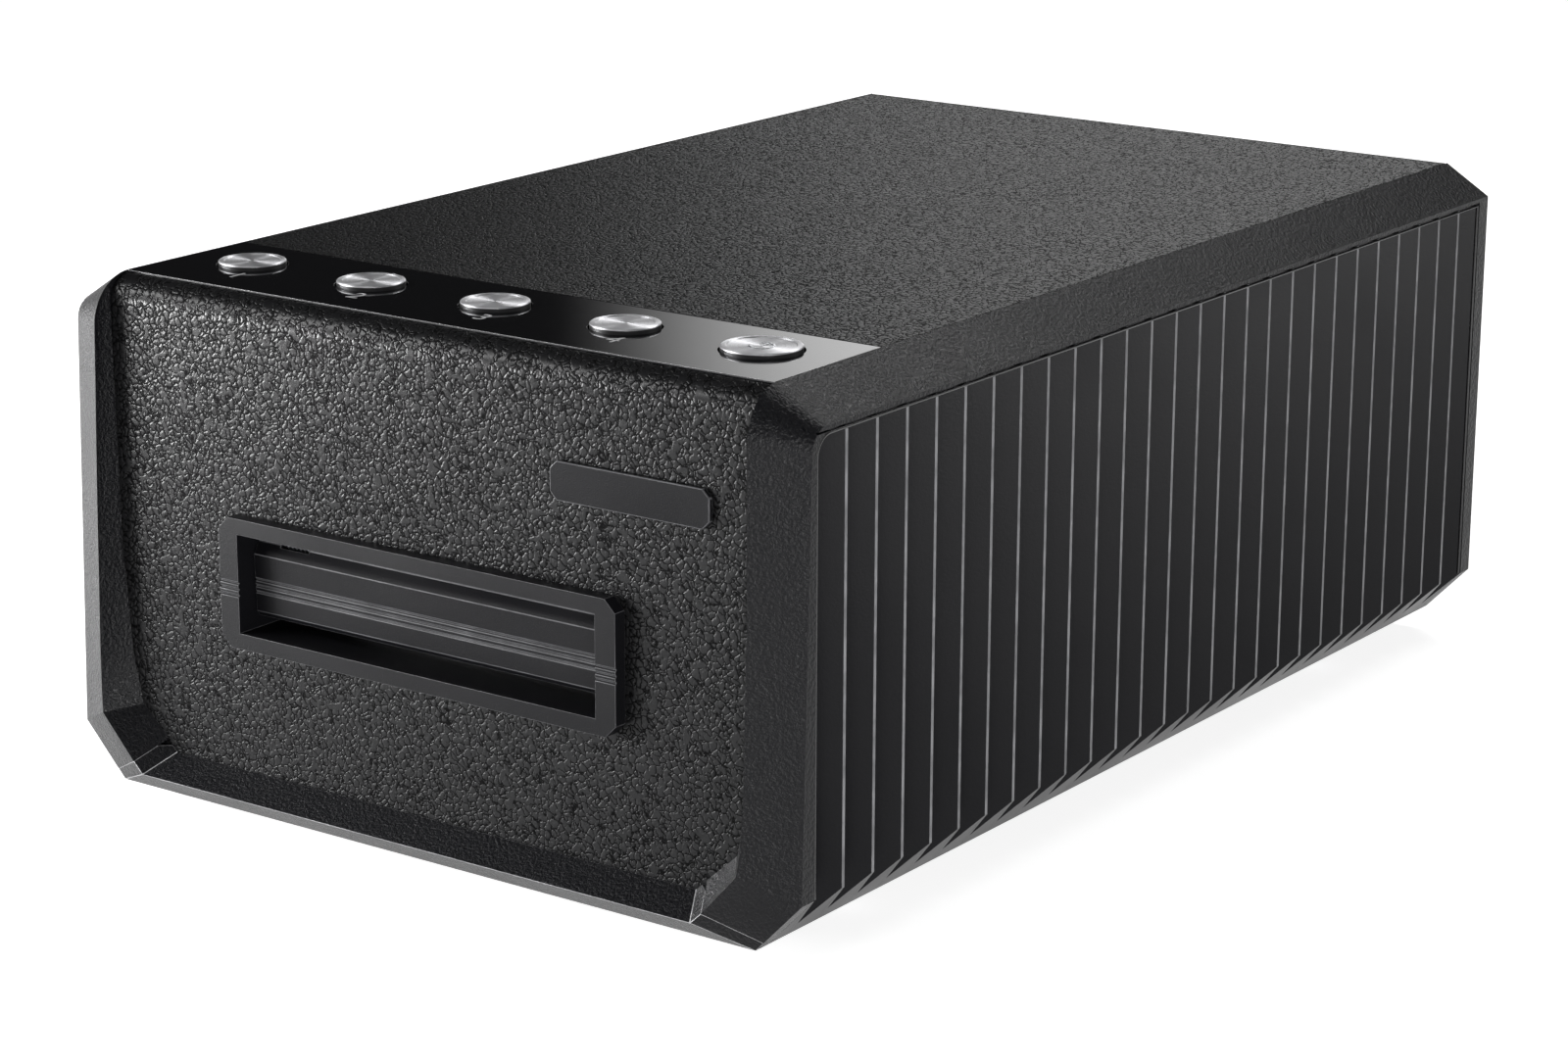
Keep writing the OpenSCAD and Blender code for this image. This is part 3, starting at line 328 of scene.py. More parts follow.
@dataclass(frozen=True)
class LeatherGrain(Finish):
    """Pressed leather grain: uneven plates parted by cracks that run out here and there."""

    plate_mm: float = 1.9
    relief_mm: float = 0.2  # How far a plate swells above the foot of its cracks
    stretch: Sequence[float] = (1, 1, 1)  # How the grain is drawn out along X, Y and Z
    wall: Pair = (0.015, 0.13)  # Where a crack's wall starts and ends, in plates from the crack
    swell: float = 0.36  # How far in from the crack a plate still swells, in plates
    closing: Pair = (0.57, 0.66)  # The noise levels between which a crack closes
    pore_mm: float = 0.25
    drift: float = 1.3  # How far the cells are warped, in plates
    wall_share: float = 0.45  # The cracks' share of the relief
    swell_share: float = 0.55  # The plates' share
    pore_share: float = 0.05  # The pores' share

    def draw(self, graph: Surface) -> None:
        """Warped cells give the plates, and a slow noise closes some of the cracks.

        Args:
            graph: The material's graph.
        """
        at = graph.place(self.stretch)
        shift = graph.noise(self.plate_mm * 1.2, at, 2, output="Color")
        shift = graph.calc("SUBTRACT", shift, (0.5, 0.5, 0.5), kind="VectorMath")
        reach = self.plate_mm * MM * self.drift
        shift = graph.calc("MULTIPLY", shift, (reach, reach, reach), kind="VectorMath")
        warped = graph.calc("ADD", at, shift, kind="VectorMath")
        edge = graph.walls(1 / (self.plate_mm * MM), warped)
        closed = graph.remap(graph.noise(self.plate_mm * 1.6, at, 1), *self.closing, 0, 0.9)
        body = graph.calc("MAXIMUM", graph.remap(edge, *self.wall), closed)
        dome = graph.calc("MAXIMUM", graph.remap(edge, 0.0, self.swell), closed)
        pores = graph.noise(self.pore_mm, at, 3)
        height = graph.calc("ADD", graph.calc("MULTIPLY", body, self.wall_share),
                            graph.calc("MULTIPLY", dome, self.swell_share))
        height = graph.calc("ADD", height, graph.calc("MULTIPLY", pores, self.pore_share))
        # The cracks are painted dark and given little specular: painted shade in the creases
        graph.set(
            Base_Color=graph.tint(body, self.shade(0.25), self.shade(1.1)),
            Roughness=self.gloss(graph, body, 0.25, 0, 0, 1),
            Specular_IOR_Level=graph.remap(body, 0, 1, 0.02, self.specular, False),
            Normal=graph.relief(height, self.relief_mm),
        )


@dataclass(frozen=True)
class GrainedPlastic(Finish):
    """Moulded plastic with a fine spark-eroded grain."""

    grain_mm: float = 0.38
    depth_mm: float = 0.035
    patch_mm: float = 28.0  # The size of the gloss's uneven patches

    def draw(self, graph: Surface) -> None:
        """Two layers of noise give the grain, and a slow one the uneven gloss of a tool.

        Args:
            graph: The material's graph.
        """
        grain = graph.noise(self.grain_mm, None, 3, 0.6)
        slow = graph.noise(self.patch_mm, None, 2)
        graph.set(
            Base_Color=graph.tint(grain, self.shade(0.6), self.shade(1.4)),
            Roughness=self.gloss(graph, slow, -0.04, 0.05),
            Normal=graph.relief(graph.remap(grain, 0.3, 0.7), self.depth_mm),
        )


@dataclass(frozen=True)
class Lacquer(Finish):
    """Polished black lacquer with the faint waviness of a sprayed coat."""

    ripple_mm: float = 9.0
    haze_mm: float = 1.4
    depth_mm: float = 0.006

    def draw(self, graph: Surface) -> None:
        """A slow ripple bends the reflections, and fine haze varies the gloss.

        Args:
            graph: The material's graph.
        """
        ripple = graph.noise(self.ripple_mm, None, 1)
        haze = graph.noise(self.haze_mm, None, 4, 0.7)
        graph.set(
            Base_Color=graph.tint(haze, self.shade(0.8), self.shade(1.3)),
            Roughness=self.gloss(graph, haze, 0, 0.03, 0.35, 0.75),
            Normal=graph.relief(ripple, self.depth_mm),
        )


@dataclass(frozen=True)
class SpunMetal(Finish):
    """Metal turned on its face, with rings round each of a row of centres."""

    pitch_mm: float = 29.7  # The distance between the centres along X
    centre_y: float = 0.0  # Where the row lies along Y, in metres
    face_z: float = 0.0  # Height of the turned faces, in metres
    wall_mm: Pair = (0.34, 0.22)  # How far below the faces the wall is painted dark as shade, from and to
    groove_mm: float = 0.14
    depth_mm: float = 0.003

    def draw(self, graph: Surface) -> None:
        """Rings round the nearest centre steer the gloss and cut the finest of grooves; the wall
        below the faces gets painted shade.

        Args:
            graph: The material's graph.
        """
        axes = graph.add("ShaderNodeSeparateXYZ")
        graph.feed(axes.inputs["Vector"], graph.place())
        half = self.pitch_mm * MM / 2
        across = graph.calc("WRAP", axes.outputs["X"], half, -half)
        along = graph.calc("SUBTRACT", axes.outputs["Y"], self.centre_y)
        radius = graph.calc("SQRT", graph.calc(
            "ADD", graph.calc("MULTIPLY", across, across), graph.calc("MULTIPLY", along, along)))
        outwards = graph.add("ShaderNodeCombineXYZ")
        graph.feed(outwards.inputs["X"], across)
        graph.feed(outwards.inputs["Y"], along)
        ring = graph.add("ShaderNodeCombineXYZ")
        graph.feed(ring.inputs["X"], radius)
        groove = graph.noise(self.groove_mm, ring.outputs["Vector"], 2)
        # The wall below the face is painted dark: painted shade in the gap round the cap
        bright = graph.remap(axes.outputs["Z"], *(self.face_z - deep * MM for deep in self.wall_mm))
        turned = graph.calc("MULTIPLY", groove, bright)
        graph.set(
            Metallic=1.0,
            Anisotropic=0.75,
            Tangent=graph.calc("NORMALIZE", outwards.outputs["Vector"], kind="VectorMath"),
            Base_Color=graph.tint(graph.remap(turned, 0, 0.5, 0, 1, False), self.shade(0.1),
                                  self.shade(1.0)),
            Roughness=self.gloss(graph, groove, -0.05, 0.07),
            Normal=graph.relief(groove, self.depth_mm),
        )


@dataclass(frozen=True)
class DrawnMetal(Finish):
    """Metal with the fine lines of drawing, rolling or turning."""

    stretch: Sequence[float] = (0.04, 1, 1)  # Small along the lines
    line_mm: float = 0.22
    depth_mm: float = 0.008
    oxide_mm: float = 7.0  # The size of the oxide's blotches

    def draw(self, graph: Surface) -> None:
        """Drawn-out noise gives the lines, and blotches the thin oxide over them.

        Args:
            graph: The material's graph.
        """
        lines = graph.noise(self.line_mm, graph.place(self.stretch), 3, 0.6)
        oxide = graph.noise(self.oxide_mm, None, 4, 0.6)
        graph.set(
            Metallic=1.0,
            Base_Color=graph.tint(oxide, self.shade(0.78), self.shade(1.08)),
            Roughness=self.gloss(graph, lines, -0.08, 0.1),
            Normal=graph.relief(lines, self.depth_mm),
        )


@dataclass(frozen=True)
class Moulding(Finish):
    """Plain moulded plastic or rubber, with flow marks and a slight skin."""

    skin_mm: float = 0.5  # The size of the skin's texture
    depth_mm: float = 0.012
    glow: float = 0.0  # The share of light that enters it
    glow_mm: float = 4.0  # How far that light goes
    flow_mm: float = 12.0  # The size of the flow marks

    def draw(self, graph: Surface) -> None:
        """Broad flow marks tint it, and a fine skin breaks up its gloss.

        Args:
            graph: The material's graph.
        """
        flow = graph.noise(self.flow_mm, graph.place((1, 1, 0.4)), 3)
        skin = graph.noise(self.skin_mm, None, 3, 0.6)
        graph.set(
            Base_Color=graph.tint(flow, self.shade(0.86), self.shade(1.08)),
            Roughness=self.gloss(graph, skin, -0.06, 0.08),
            Normal=graph.relief(skin, self.depth_mm),
        )
        if self.glow:
            graph.set(Subsurface_Weight=self.glow, Subsurface_Scale=self.glow_mm * MM)


@dataclass(frozen=True)
class SolderMask(Finish):
    """Circuit board: mask over copper tracks, so many to the metre, and a faint glass weave."""

    tracks: float = 260
    weave_mm: float = 0.6
    depth_mm: float = 0.03
    copper_share: float = 0.7  # The tracks' share of the relief
    weave_share: float = 0.3  # The weave's share

    def draw(self, graph: Surface) -> None:
        """Squared cells lay the tracks, and a fine crossed wave the weave below.

        Args:
            graph: The material's graph.
        """
        copper = graph.remap(graph.walls(self.tracks, graph.place(), 0.55), 0.05, 0.09, 1, 0)
        weave = graph.noise(self.weave_mm, graph.place((1, 1, 0.2)), 1)
        height = graph.calc("ADD", graph.calc("MULTIPLY", copper, self.copper_share),
                            graph.calc("MULTIPLY", weave, self.weave_share))
        graph.set(
            Base_Color=graph.tint(copper, self.shade(0.75), self.shade(1.5)),
            Roughness=self.gloss(graph, weave, 0, 0.1),
            Normal=graph.relief(height, self.depth_mm),
        )


@dataclass(frozen=True)
class FlatRibbon(Finish):
    """Flat ribbon with its conductors in relief."""

    pitch_mm: float = 1.0  # From one conductor to the next
    depth_mm: float = 0.08

    def draw(self, graph: Surface) -> None:
        """A wave across the ribbon gives one ridge for each conductor.

        Args:
            graph: The material's graph.
        """
        axes = graph.add("ShaderNodeSeparateXYZ")
        graph.feed(axes.inputs["Vector"], graph.place())
        across = graph.calc("ADD", axes.outputs["Y"], axes.outputs["Z"])
        wave = graph.calc("SINE", graph.calc("MULTIPLY", across,
                                             2 * math.pi / (self.pitch_mm * MM)))
        ridge = graph.remap(wave, -1, 1)
        graph.set(
            Base_Color=graph.tint(ridge, self.shade(0.62), self.shade(1.02)),
            Roughness=self.gloss(graph, ridge, 0.1, 0, 0, 1),
            Normal=graph.relief(ridge, self.depth_mm),
        )


@dataclass(frozen=True)
class CoatedGlass(Finish):
    """Polished optical glass with a faint coating."""

    index: float = 1.52  # Its index of refraction
    drift_mm: float = 3.0  # The size of the coating's uneven patches

    def draw(self, graph: Surface) -> None:
        """The coating's tint drifts, and dust varies the polish a little.

        Args:
            graph: The material's graph.
        """
        drift = graph.noise(self.drift_mm, None, 2)
        graph.set(
            Transmission_Weight=1.0,
            IOR=self.index,
            Base_Color=graph.tint(drift, self.shade(0.92), self.shade(1.04)),
            Roughness=self.gloss(graph, drift, 0, 0.02),
        )


@dataclass(frozen=True)
class Silvered(Finish):
    """A silvered mirror face."""

    dust_mm: float = 0.8

    def draw(self, graph: Surface) -> None:
        """A trace of dust varies its polish.

        Args:
            graph: The material's graph.
        """
        dust = graph.noise(self.dust_mm, None, 5, 0.7)
        graph.set(
            Metallic=1.0,
            Base_Color=graph.tint(dust, self.shade(0.95), self.shade(1.03)),
            Roughness=self.gloss(graph, dust, 0, 0.06, 0.5, 0.8),
        )


BUTTON_CENTRE_Y = sum((corner.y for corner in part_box("button_cap_1")), 0.0) / 2
BUTTON_PITCH_MM = (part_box("button_cap_2")[0].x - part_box("button_cap_1")[0].x) / MM

FRONT_LEATHER = LeatherGrain(
    "front leather", "leather_grain", (0.006, 0.006, 0.0065), 0.30, 0.20, plate_mm=1.35,
    relief_mm=0.085)
TOP_LEATHER = LeatherGrain(
    "top leather", "leather_grain", (0.005, 0.005, 0.0055), 0.36, 0.08, plate_mm=1.0,
    relief_mm=0.07, stretch=(1, 0.8, 1))
# An edge colour is a painted highlight, laid on the marked rounded edges
FRAME_PLASTIC = GrainedPlastic(
    "frame plastic", "frame_plastic", (0.005, 0.005, 0.006), 0.31, 0.16, edge=(0.45, 0.45, 0.46),
    grain_mm=0.7, depth_mm=0.10)
BEZEL_PLASTIC = GrainedPlastic(
    "bezel plastic", "frame_plastic", (0.005, 0.005, 0.006), 0.36, 0.13, edge=(0.10, 0.10, 0.105),
    grain_mm=0.26, depth_mm=0.012)
BLADE_PLASTIC = replace(BEZEL_PLASTIC, name="blade plastic", roughness=0.34, specular=0.11)
PLEAT_PLASTIC = GrainedPlastic(
    "pleat plastic", "pleat_plastic", (0.003, 0.003, 0.004), 0.34, 0.11, edge=(0.26, 0.26, 0.27),
    grain_mm=0.5, depth_mm=0.006)
RIM_PLASTIC = Moulding(
    "rim plastic", "pleat_plastic", (0.012, 0.012, 0.013), 0.20, 0.6, depth_mm=0.002)
# Its edge colour is a painted highlight along the strip's rounded edges
GLOSS_BLACK = Lacquer(
    "strip lacquer", "gloss_black", (0.004, 0.004, 0.005), 0.06, 0.5, edge=(0.60, 0.60, 0.61))
SPUN_CAP = SpunMetal(
    "spun cap", "spun_aluminium", (0.72, 0.72, 0.74), 0.48, pitch_mm=BUTTON_PITCH_MM,
    centre_y=BUTTON_CENTRE_Y, face_z=CAD_BOX[1][2])
SHAFT_STEEL = DrawnMetal("shaft steel", "steel", (0.60, 0.61, 0.63), 0.24)
SCREW_STEEL = DrawnMetal("screw steel", "steel", (0.56, 0.57, 0.59), 0.30, stretch=(1, 1, 0.1))
SPRING_WIRE = DrawnMetal("spring wire", "spring_steel", (0.45, 0.46, 0.48), 0.30, stretch=(1, 1, 1))
ZINC_SHEET = DrawnMetal(
    "zinc sheet", "sheet_steel", (0.55, 0.56, 0.58), 0.38, stretch=(1, 0.05, 1), line_mm=0.4)
NICKEL = DrawnMetal("nickel shell", "plated_shell", (0.75, 0.75, 0.76), 0.18, stretch=(1, 0.1, 1))
BRASS = DrawnMetal("turned brass", "brass", (0.72, 0.57, 0.28), 0.26, stretch=(1, 0.2, 0.2))
RUBBER = Moulding(
    "black rubber", "rubber", (0.022, 0.022, 0.022), 0.72, 0.3, skin_mm=0.35, depth_mm=0.03)
ACETAL = Moulding("white acetal", "white_acetal", (0.80, 0.80, 0.77), 0.34, glow=0.15)
BLACK_PLASTIC = Moulding("black moulding", "black_plastic", (0.03, 0.03, 0.032), 0.46)
OPAL = Moulding("opal plastic", "opal_white", (0.84, 0.84, 0.81), 0.42, glow=0.3)
BOARD = SolderMask("board mask", "circuit_board", (0.015, 0.11, 0.045), 0.34)
RIBBON = FlatRibbon("ribbon", "white_flex", (0.72, 0.73, 0.75), 0.42)
LENS = CoatedGlass("lens glass", "optical_glass", (0.86, 0.93, 0.96), 0.0)
MIRROR = Silvered("mirror face", "front_mirror", (0.92, 0.93, 0.94), 0.02)
PRINT = Moulding("grey print", "gloss_black", (0.50, 0.50, 0.51), 0.6, skin_mm=0.2, depth_mm=0.004)


# ---- bench: modelling helpers


class Part(Enum):
    """The kinds of mesh part that are picked, by their names in a mesh."""

    FACE = "faces"
    EDGE = "edges"
    VERT = "verts"


def end_edit() -> None:
    """Ends the edit."""
    bpy.ops.object.mode_set(mode="OBJECT")


def clear_selection() -> None:
    """Goes to object mode, with nothing selected."""
    if bpy.context.mode != "OBJECT":
        end_edit()
    bpy.ops.object.select_all(action="DESELECT")


def take(piece: Piece) -> None:
    """Makes a piece the only one selected, and the active one.

    Args:
        piece: The piece.
    """
    clear_selection()
    piece.select_set(True)
    bpy.context.view_layer.objects.active = piece


def edit_all(piece: Piece) -> None:
    """Goes to edit mode, with all of a piece selected.

    Args:
        piece: The piece.
    """
    take(piece)
    bpy.ops.object.mode_set(mode="EDIT")
    bpy.ops.mesh.select_all(action="SELECT")


def newest(name: str) -> Piece:
    """The piece that was made last, under a name of its own.

    Args:
        name: That name.

    Returns:
        The piece.
    """
    piece = bpy.context.active_object
    piece.name = piece.data.name = name
    return piece


def apply(piece: Piece, kind: str, **settings: object) -> None:
    """Adds a modifier to a piece and applies it.

    Args:
        piece: The piece.
        kind: The modifier's Blender type.
        settings: The modifier's settings.
    """
    take(piece)
    modifier = piece.modifiers.new(kind.lower(), kind)
    for key, value in settings.items():
        setattr(modifier, key, value)
    bpy.ops.object.modifier_apply(modifier=modifier.name)


def settle(piece: Piece) -> Piece:
    """Moves a piece's place into its mesh, so that its object sits at the origin.

    Args:
        piece: The piece.

    Returns:
        The piece.
    """
    take(piece)
    bpy.ops.object.transform_apply(location=True, rotation=True, scale=True)
    return piece


def choose(piece: Piece, part: Part, test: Callable[[Item], bool]) -> None:
    """Goes to edit mode, with just those parts of one kind selected that pass a test.

    Args:
        piece: The piece.
        part: The kind of part.
        test: What a face, an edge or a vertex has to pass.
    """
    take(piece)
    bpy.ops.object.mode_set(mode="EDIT")
    bpy.ops.mesh.select_mode(type=part.name)
    bpy.ops.mesh.select_all(action="DESELECT")
    mesh = bmesh.from_edit_mesh(piece.data)
    for item in getattr(mesh, part.value):
        item.select_set(test(item))
    bmesh.update_edit_mesh(piece.data)


def face_outwards(piece: Piece, weld: bool = False) -> None:
    """Turns every face of a closed piece outwards.

    Args:
        piece: The piece.
        weld: Whether its doubles are merged first.
    """
    edit_all(piece)
    if weld:
        bpy.ops.mesh.remove_doubles(threshold=WELD_GAP)
    bpy.ops.mesh.normals_make_consistent(inside=False)
    end_edit()


def mirrored(piece: Piece, name: str) -> Piece:
    """A copy of a piece on the other side of the middle plane, with its own mesh.

    Args:
        piece: The piece.
        name: The copy's name.

    Returns:
        The copy.
    """
    take(piece)
    bpy.ops.object.duplicate()
    twin = newest(name)
    twin.scale.x = -1
    settle(twin)
    face_outwards(twin)
    return twin


def smooth(piece: Piece, angle: float = 40) -> Piece:
    """Shades a piece smooth, with its broad faces kept flat.

    Args:
        piece: The piece.
        angle: Up to how sharp an edge, in degrees.

    Returns:
        The piece.
    """
    take(piece)
    bpy.ops.object.shade_smooth_by_angle(angle=math.radians(angle))
    apply(piece, "WEIGHTED_NORMAL", keep_sharp=True, weight=80)
    return piece


def merged_copy(node: str, name: str) -> Piece:
    """A copy of a CAD node's mesh with its loose triangles merged into clean faces.

    Args:
        node: The CAD node.
        name: The copy's name.

    Returns:
        The copy.
    """
    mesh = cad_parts[node].data.copy()
    mesh.materials.clear()
    mesh.name = name
    piece = bpy.data.objects.new(name, mesh)
    bpy.context.scene.collection.objects.link(piece)
    take(piece)
    if mesh.has_custom_normals:
        bpy.ops.mesh.customdata_custom_splitnormals_clear()
    edit_all(piece)
    bpy.ops.mesh.remove_doubles(threshold=CAD_WELD_GAP)
    bpy.ops.mesh.dissolve_limited(angle_limit=CAD_FLAT_ANGLE)
    end_edit()
    return piece


def edge_level(at: Vector, normal: Vector, rounded: bool) -> float:
    """The usual painted edge highlight: full on rounded edges, none elsewhere."""
    return float(rounded)


def soften(piece: Piece, radius_mm: float, steps: int = 2, level: Level = edge_level) -> Piece:
    """Rounds a piece's hard edges, as a moulding tool leaves them, and marks them for a painted
    highlight.

    A second material slot tells the rounded faces apart until they are marked.

    Args:
        piece: The piece.
        radius_mm: The width of the rounding.
        steps: Its number of faces.
        level: How strongly a face gets the painted edge highlight, by its place, normal and being
            rounded.

    Returns:
        The piece.
    """
    for finish in (FRAME_PLASTIC, BEZEL_PLASTIC):
        piece.data.materials.append(finish.material())
    apply(piece, "BEVEL", width=radius_mm * MM, segments=steps, limit_method="ANGLE",
          angle_limit=HARD_EDGE_ANGLE, use_clamp_overlap=True, miter_outer="MITER_ARC", material=1)
    mesh = piece.data
    mark = mesh.attributes.new(HIGHLIGHT_MARK, "FLOAT", "FACE")
    mark.data.foreach_set("value", [level(face.center, face.normal, face.material_index == 1)
                                    for face in mesh.polygons])
    mesh.polygons.foreach_set("material_index", [0] * len(mesh.polygons))
    return smooth(piece)


def dress(piece: Piece, finish: Finish, body: str = HOUSING,
          stands_for: Iterable[str] = ()) -> None:
    """Gives a finished piece its material, its body and the nodes that it stands for.

    Args:
        piece: The piece.
        finish: Its finish.
        body: The CAD body that it rides on.
        stands_for: The CAD nodes that it replaces.
    """
    piece.data.materials.clear()
    piece.data.materials.append(finish.material())
    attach(piece, body)
    names = list(stands_for)
    if names:
        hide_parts(*names)
    LOG.info("%s: %d faces, %s, on %s", piece.name, len(piece.data.polygons), finish.name, body)


def renew(node: str, name: str, finish: Finish, radius_mm: float, steps: int = 2,
          body: str = HOUSING, level: Level = edge_level) -> None:
    """Puts a dressed copy with rounded edges in a CAD node's place.

    Args:
        node: The CAD node.
        name: The copy's name.
        finish: Its finish.
        radius_mm: The width of the rounding.
        steps: Its number of faces.
        body: The CAD body that it rides on.
        level: How strongly a face gets the painted edge highlight.
    """
    dress(soften(merged_copy(node, name), radius_mm, steps, level), finish, body, [node])


def coat(node: str, finish: Finish) -> None:
    """Gives a CAD node that stays in sight its material.

    Args:
        node: The CAD node.
        finish: Its finish.
    """
    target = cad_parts[node]
    target.data.materials.clear()
    target.data.materials.append(finish.material())
    LOG.info("%s: node kept, %s", node, finish.name)


# ---- sub-assemblies


class SubAssembly(ABC):
    """A group of pieces that is built and dressed together."""

    @abstractmethod
    def build(self) -> None:
        """Builds and dresses its pieces."""


@dataclass
class Casing(SubAssembly):
    """Base, frames, pleated sides and covers; a radius is the width of an edge's rounding."""

    frame_radius_mm: float = 0.35
    corner_radius_mm: float = 1.5  # At the upright edge of each front corner
    corner_steps: int = 5
    corner_reach_mm: float = 3.0  # How far behind the rim such an edge may lie
    corner_rise_mm: float = 5.0  # The least height of such an edge
    cover_radius_mm: float = 0.3
    pleat_radius_mm: float = 0.25
    side_mm: float = 85.0  # How far the side faces lie from the middle
    peak_mm: float = 84.6  # How far the pleats' peaks lie from the middle
    rim_mm: float = -126.0  # Where the front's rim ends, along Y; edges ahead of it get the full painted highlight
    slack_mm: float = 0.1  # How far from its place a face or an edge may lie
    peak_facing: float = 0.98  # The least sideways part of the normal of a peak's flat
    back_mark: float = 0.25  # The painted edge highlight's strength behind the rim
    fold_mark: float = 0.12  # Its strength on the roundings of the pleats' peaks

    def build(self) -> None:
        """Rounds each shell and gives it its finish."""
        renew("base_tray", "base_tray_shell", FRAME_PLASTIC, self.frame_radius_mm,
              level=self.rim_level)
        for side in ("left", "right"):
            frame_node = f"{side}_side_frame"
            dress(self.side_frame(frame_node), FRAME_PLASTIC, HOUSING, [frame_node])
        for side in ("left", "right"):
            renew(f"{side}_pleated_panel", f"{side}_pleated_panel_skin", PLEAT_PLASTIC,
                  self.pleat_radius_mm, level=self.peak_level)
        renew("front_panel", "front_panel_skin", FRONT_LEATHER, self.cover_radius_mm)
        renew("top_cover", "top_cover_skin", TOP_LEATHER, self.cover_radius_mm)

    def side_frame(self, node: str) -> Piece:
        """A side frame with the upright edge of its front corner rounded wider than the rest.

        Args:
            node: The CAD node.

        Returns:
            The frame.
        """
        piece = merged_copy(node, node + "_shell")

        def front_corner(edge: bmesh.types.BMEdge) -> bool:
            """Whether an edge is upright and lies on the side face, near the front.

            Args:
                edge: The edge.

            Returns:
                Whether it is and does.
            """
            start, end = (corner.co for corner in edge.verts)
            outside = min(abs(start.x), abs(end.x)) > (self.side_mm - self.slack_mm) * MM
            front = max(start.y, end.y) < (self.rim_mm + self.corner_reach_mm) * MM
            return outside and front and abs(start.z - end.z) > self.corner_rise_mm * MM

        choose(piece, Part.EDGE, front_corner)
        bpy.ops.mesh.bevel(offset=self.corner_radius_mm * MM, segments=self.corner_steps,
                           affect="EDGES", clamp_overlap=True)
        end_edit()
        return soften(piece, self.frame_radius_mm, level=self.rim_level)

    def rim_level(self, at: Vector, normal: Vector, rounded: bool) -> float:
        """Painted edge highlight: strong at the front's own edges, weak at the other edges of the
        frame.
        """
        return (1.0 if at.y < self.rim_mm * MM else self.back_mark) * rounded

    def peak_level(self, at: Vector, normal: Vector, rounded: bool) -> float:
        """Painted highlight: strong on the narrow flats of the pleats' peaks, weak on their
        roundings.
        """
        flat = abs(at.x) > (self.peak_mm - self.slack_mm) * MM and abs(normal.x) > self.peak_facing
        return 1.0 if flat else self.fold_mark * rounded


@dataclass
class PleatRims(SubAssembly):
    """The thin bead round each pleated side, and the web behind its rounded front corner.

    The pleats' opening runs from front to rear along Y, and from foot to top.
    """

    bead_mm: float = 0.33
    bead_steps: int = 4  # Faces in a quarter of the bead's round
    corner_mm: float = 4.2  # Outer radius of the upper front corner
    corner_steps: int = 10
    centre_mm: float = 84.6  # How far the bead's centre lies from the middle
    front_mm: float = -120.3
    rear_mm: float = 125.6
    foot_mm: float = 14.6
    top_mm: float = 96.7
    web_mm: float = 1.0
    web_radius_mm: float = 0.08
    cutter_faces: int = 96  # Faces round the web's cutter

    def build(self) -> None:
        """Makes the right side's bead and web, and a mirrored copy of each."""
        bead, web = self.bead("right_pleat_bead"), self.web("right_corner_web")
        for piece, name, finish in ((bead, "left_pleat_bead", RIM_PLASTIC),
                                    (web, "left_corner_web", FRAME_PLASTIC)):
            twin = mirrored(piece, name)
            dress(piece, finish)
            dress(twin, finish)

    def bead(self, name: str) -> Piece:
        """A round bead along the opening's front, top and rear edges.

        Args:
            name: The bead's name.

        Returns:
            The bead.
        """
        low = Vector((self.front_mm + self.bead_mm, self.foot_mm)) * MM
        high = Vector((self.rear_mm - self.bead_mm, self.top_mm - self.bead_mm)) * MM
        middle, size = (low + high) / 2, high - low
        clear_selection()
        bpy.ops.mesh.primitive_plane_add(
            size=1, location=(self.centre_mm * MM, *middle), rotation=(0, math.pi / 2, 0))
        path = bpy.context.active_object
        path.scale = (size.y, size.x, 1)
        settle(path)
        choose(path, Part.VERT, lambda corner: corner.co.y < middle.x and corner.co.z > middle.y)
        bpy.ops.mesh.bevel(offset=(self.corner_mm - self.bead_mm) * MM,
                           segments=self.corner_steps, affect="VERTICES")
        bpy.ops.mesh.select_all(action="SELECT")
        bpy.ops.mesh.delete(type="ONLY_FACE")
        end_edit()
        choose(path, Part.EDGE, lambda edge: max(end.co.z for end in edge.verts) < middle.y)
        bpy.ops.mesh.delete(type="EDGE")
        end_edit()
        bpy.ops.object.convert(target="CURVE")
        path.data.bevel_depth = self.bead_mm * MM
        path.data.bevel_resolution = self.bead_steps - 1
        path.data.use_fill_caps = True
        bpy.ops.object.convert(target="MESH")
        bead = newest(name)
        face_outwards(bead, weld=True)
        return smooth(bead)

    def web(self, name: str) -> Piece:
        """The small web that fills the square corner outside the bead's arc.

        Args:
            name: The web's name.

        Returns:
            The web.
        """
        side, thick = self.corner_mm * MM, self.web_mm * MM
        x = (self.centre_mm + self.bead_mm - self.web_mm / 2) * MM
        y, z = self.front_mm * MM + side / 2, self.top_mm * MM - side / 2
        clear_selection()
        bpy.ops.mesh.primitive_cylinder_add(
            vertices=self.cutter_faces, radius=side, depth=4 * thick,
            location=(x, y + side / 2, z - side / 2), rotation=(0, math.pi / 2, 0))
        cutter = bpy.context.active_object
        bpy.ops.mesh.primitive_cube_add(size=1, location=(x, y, z))
        web = newest(name)
        web.scale = (thick, side, side)
        settle(web)
        apply(web, "BOOLEAN", operation="DIFFERENCE", object=cutter, solver="EXACT")
        take(cutter)
        bpy.ops.object.delete()
        apply(web, "BEVEL", width=self.web_radius_mm * MM, segments=2, limit_method="ANGLE")
        return smooth(web)


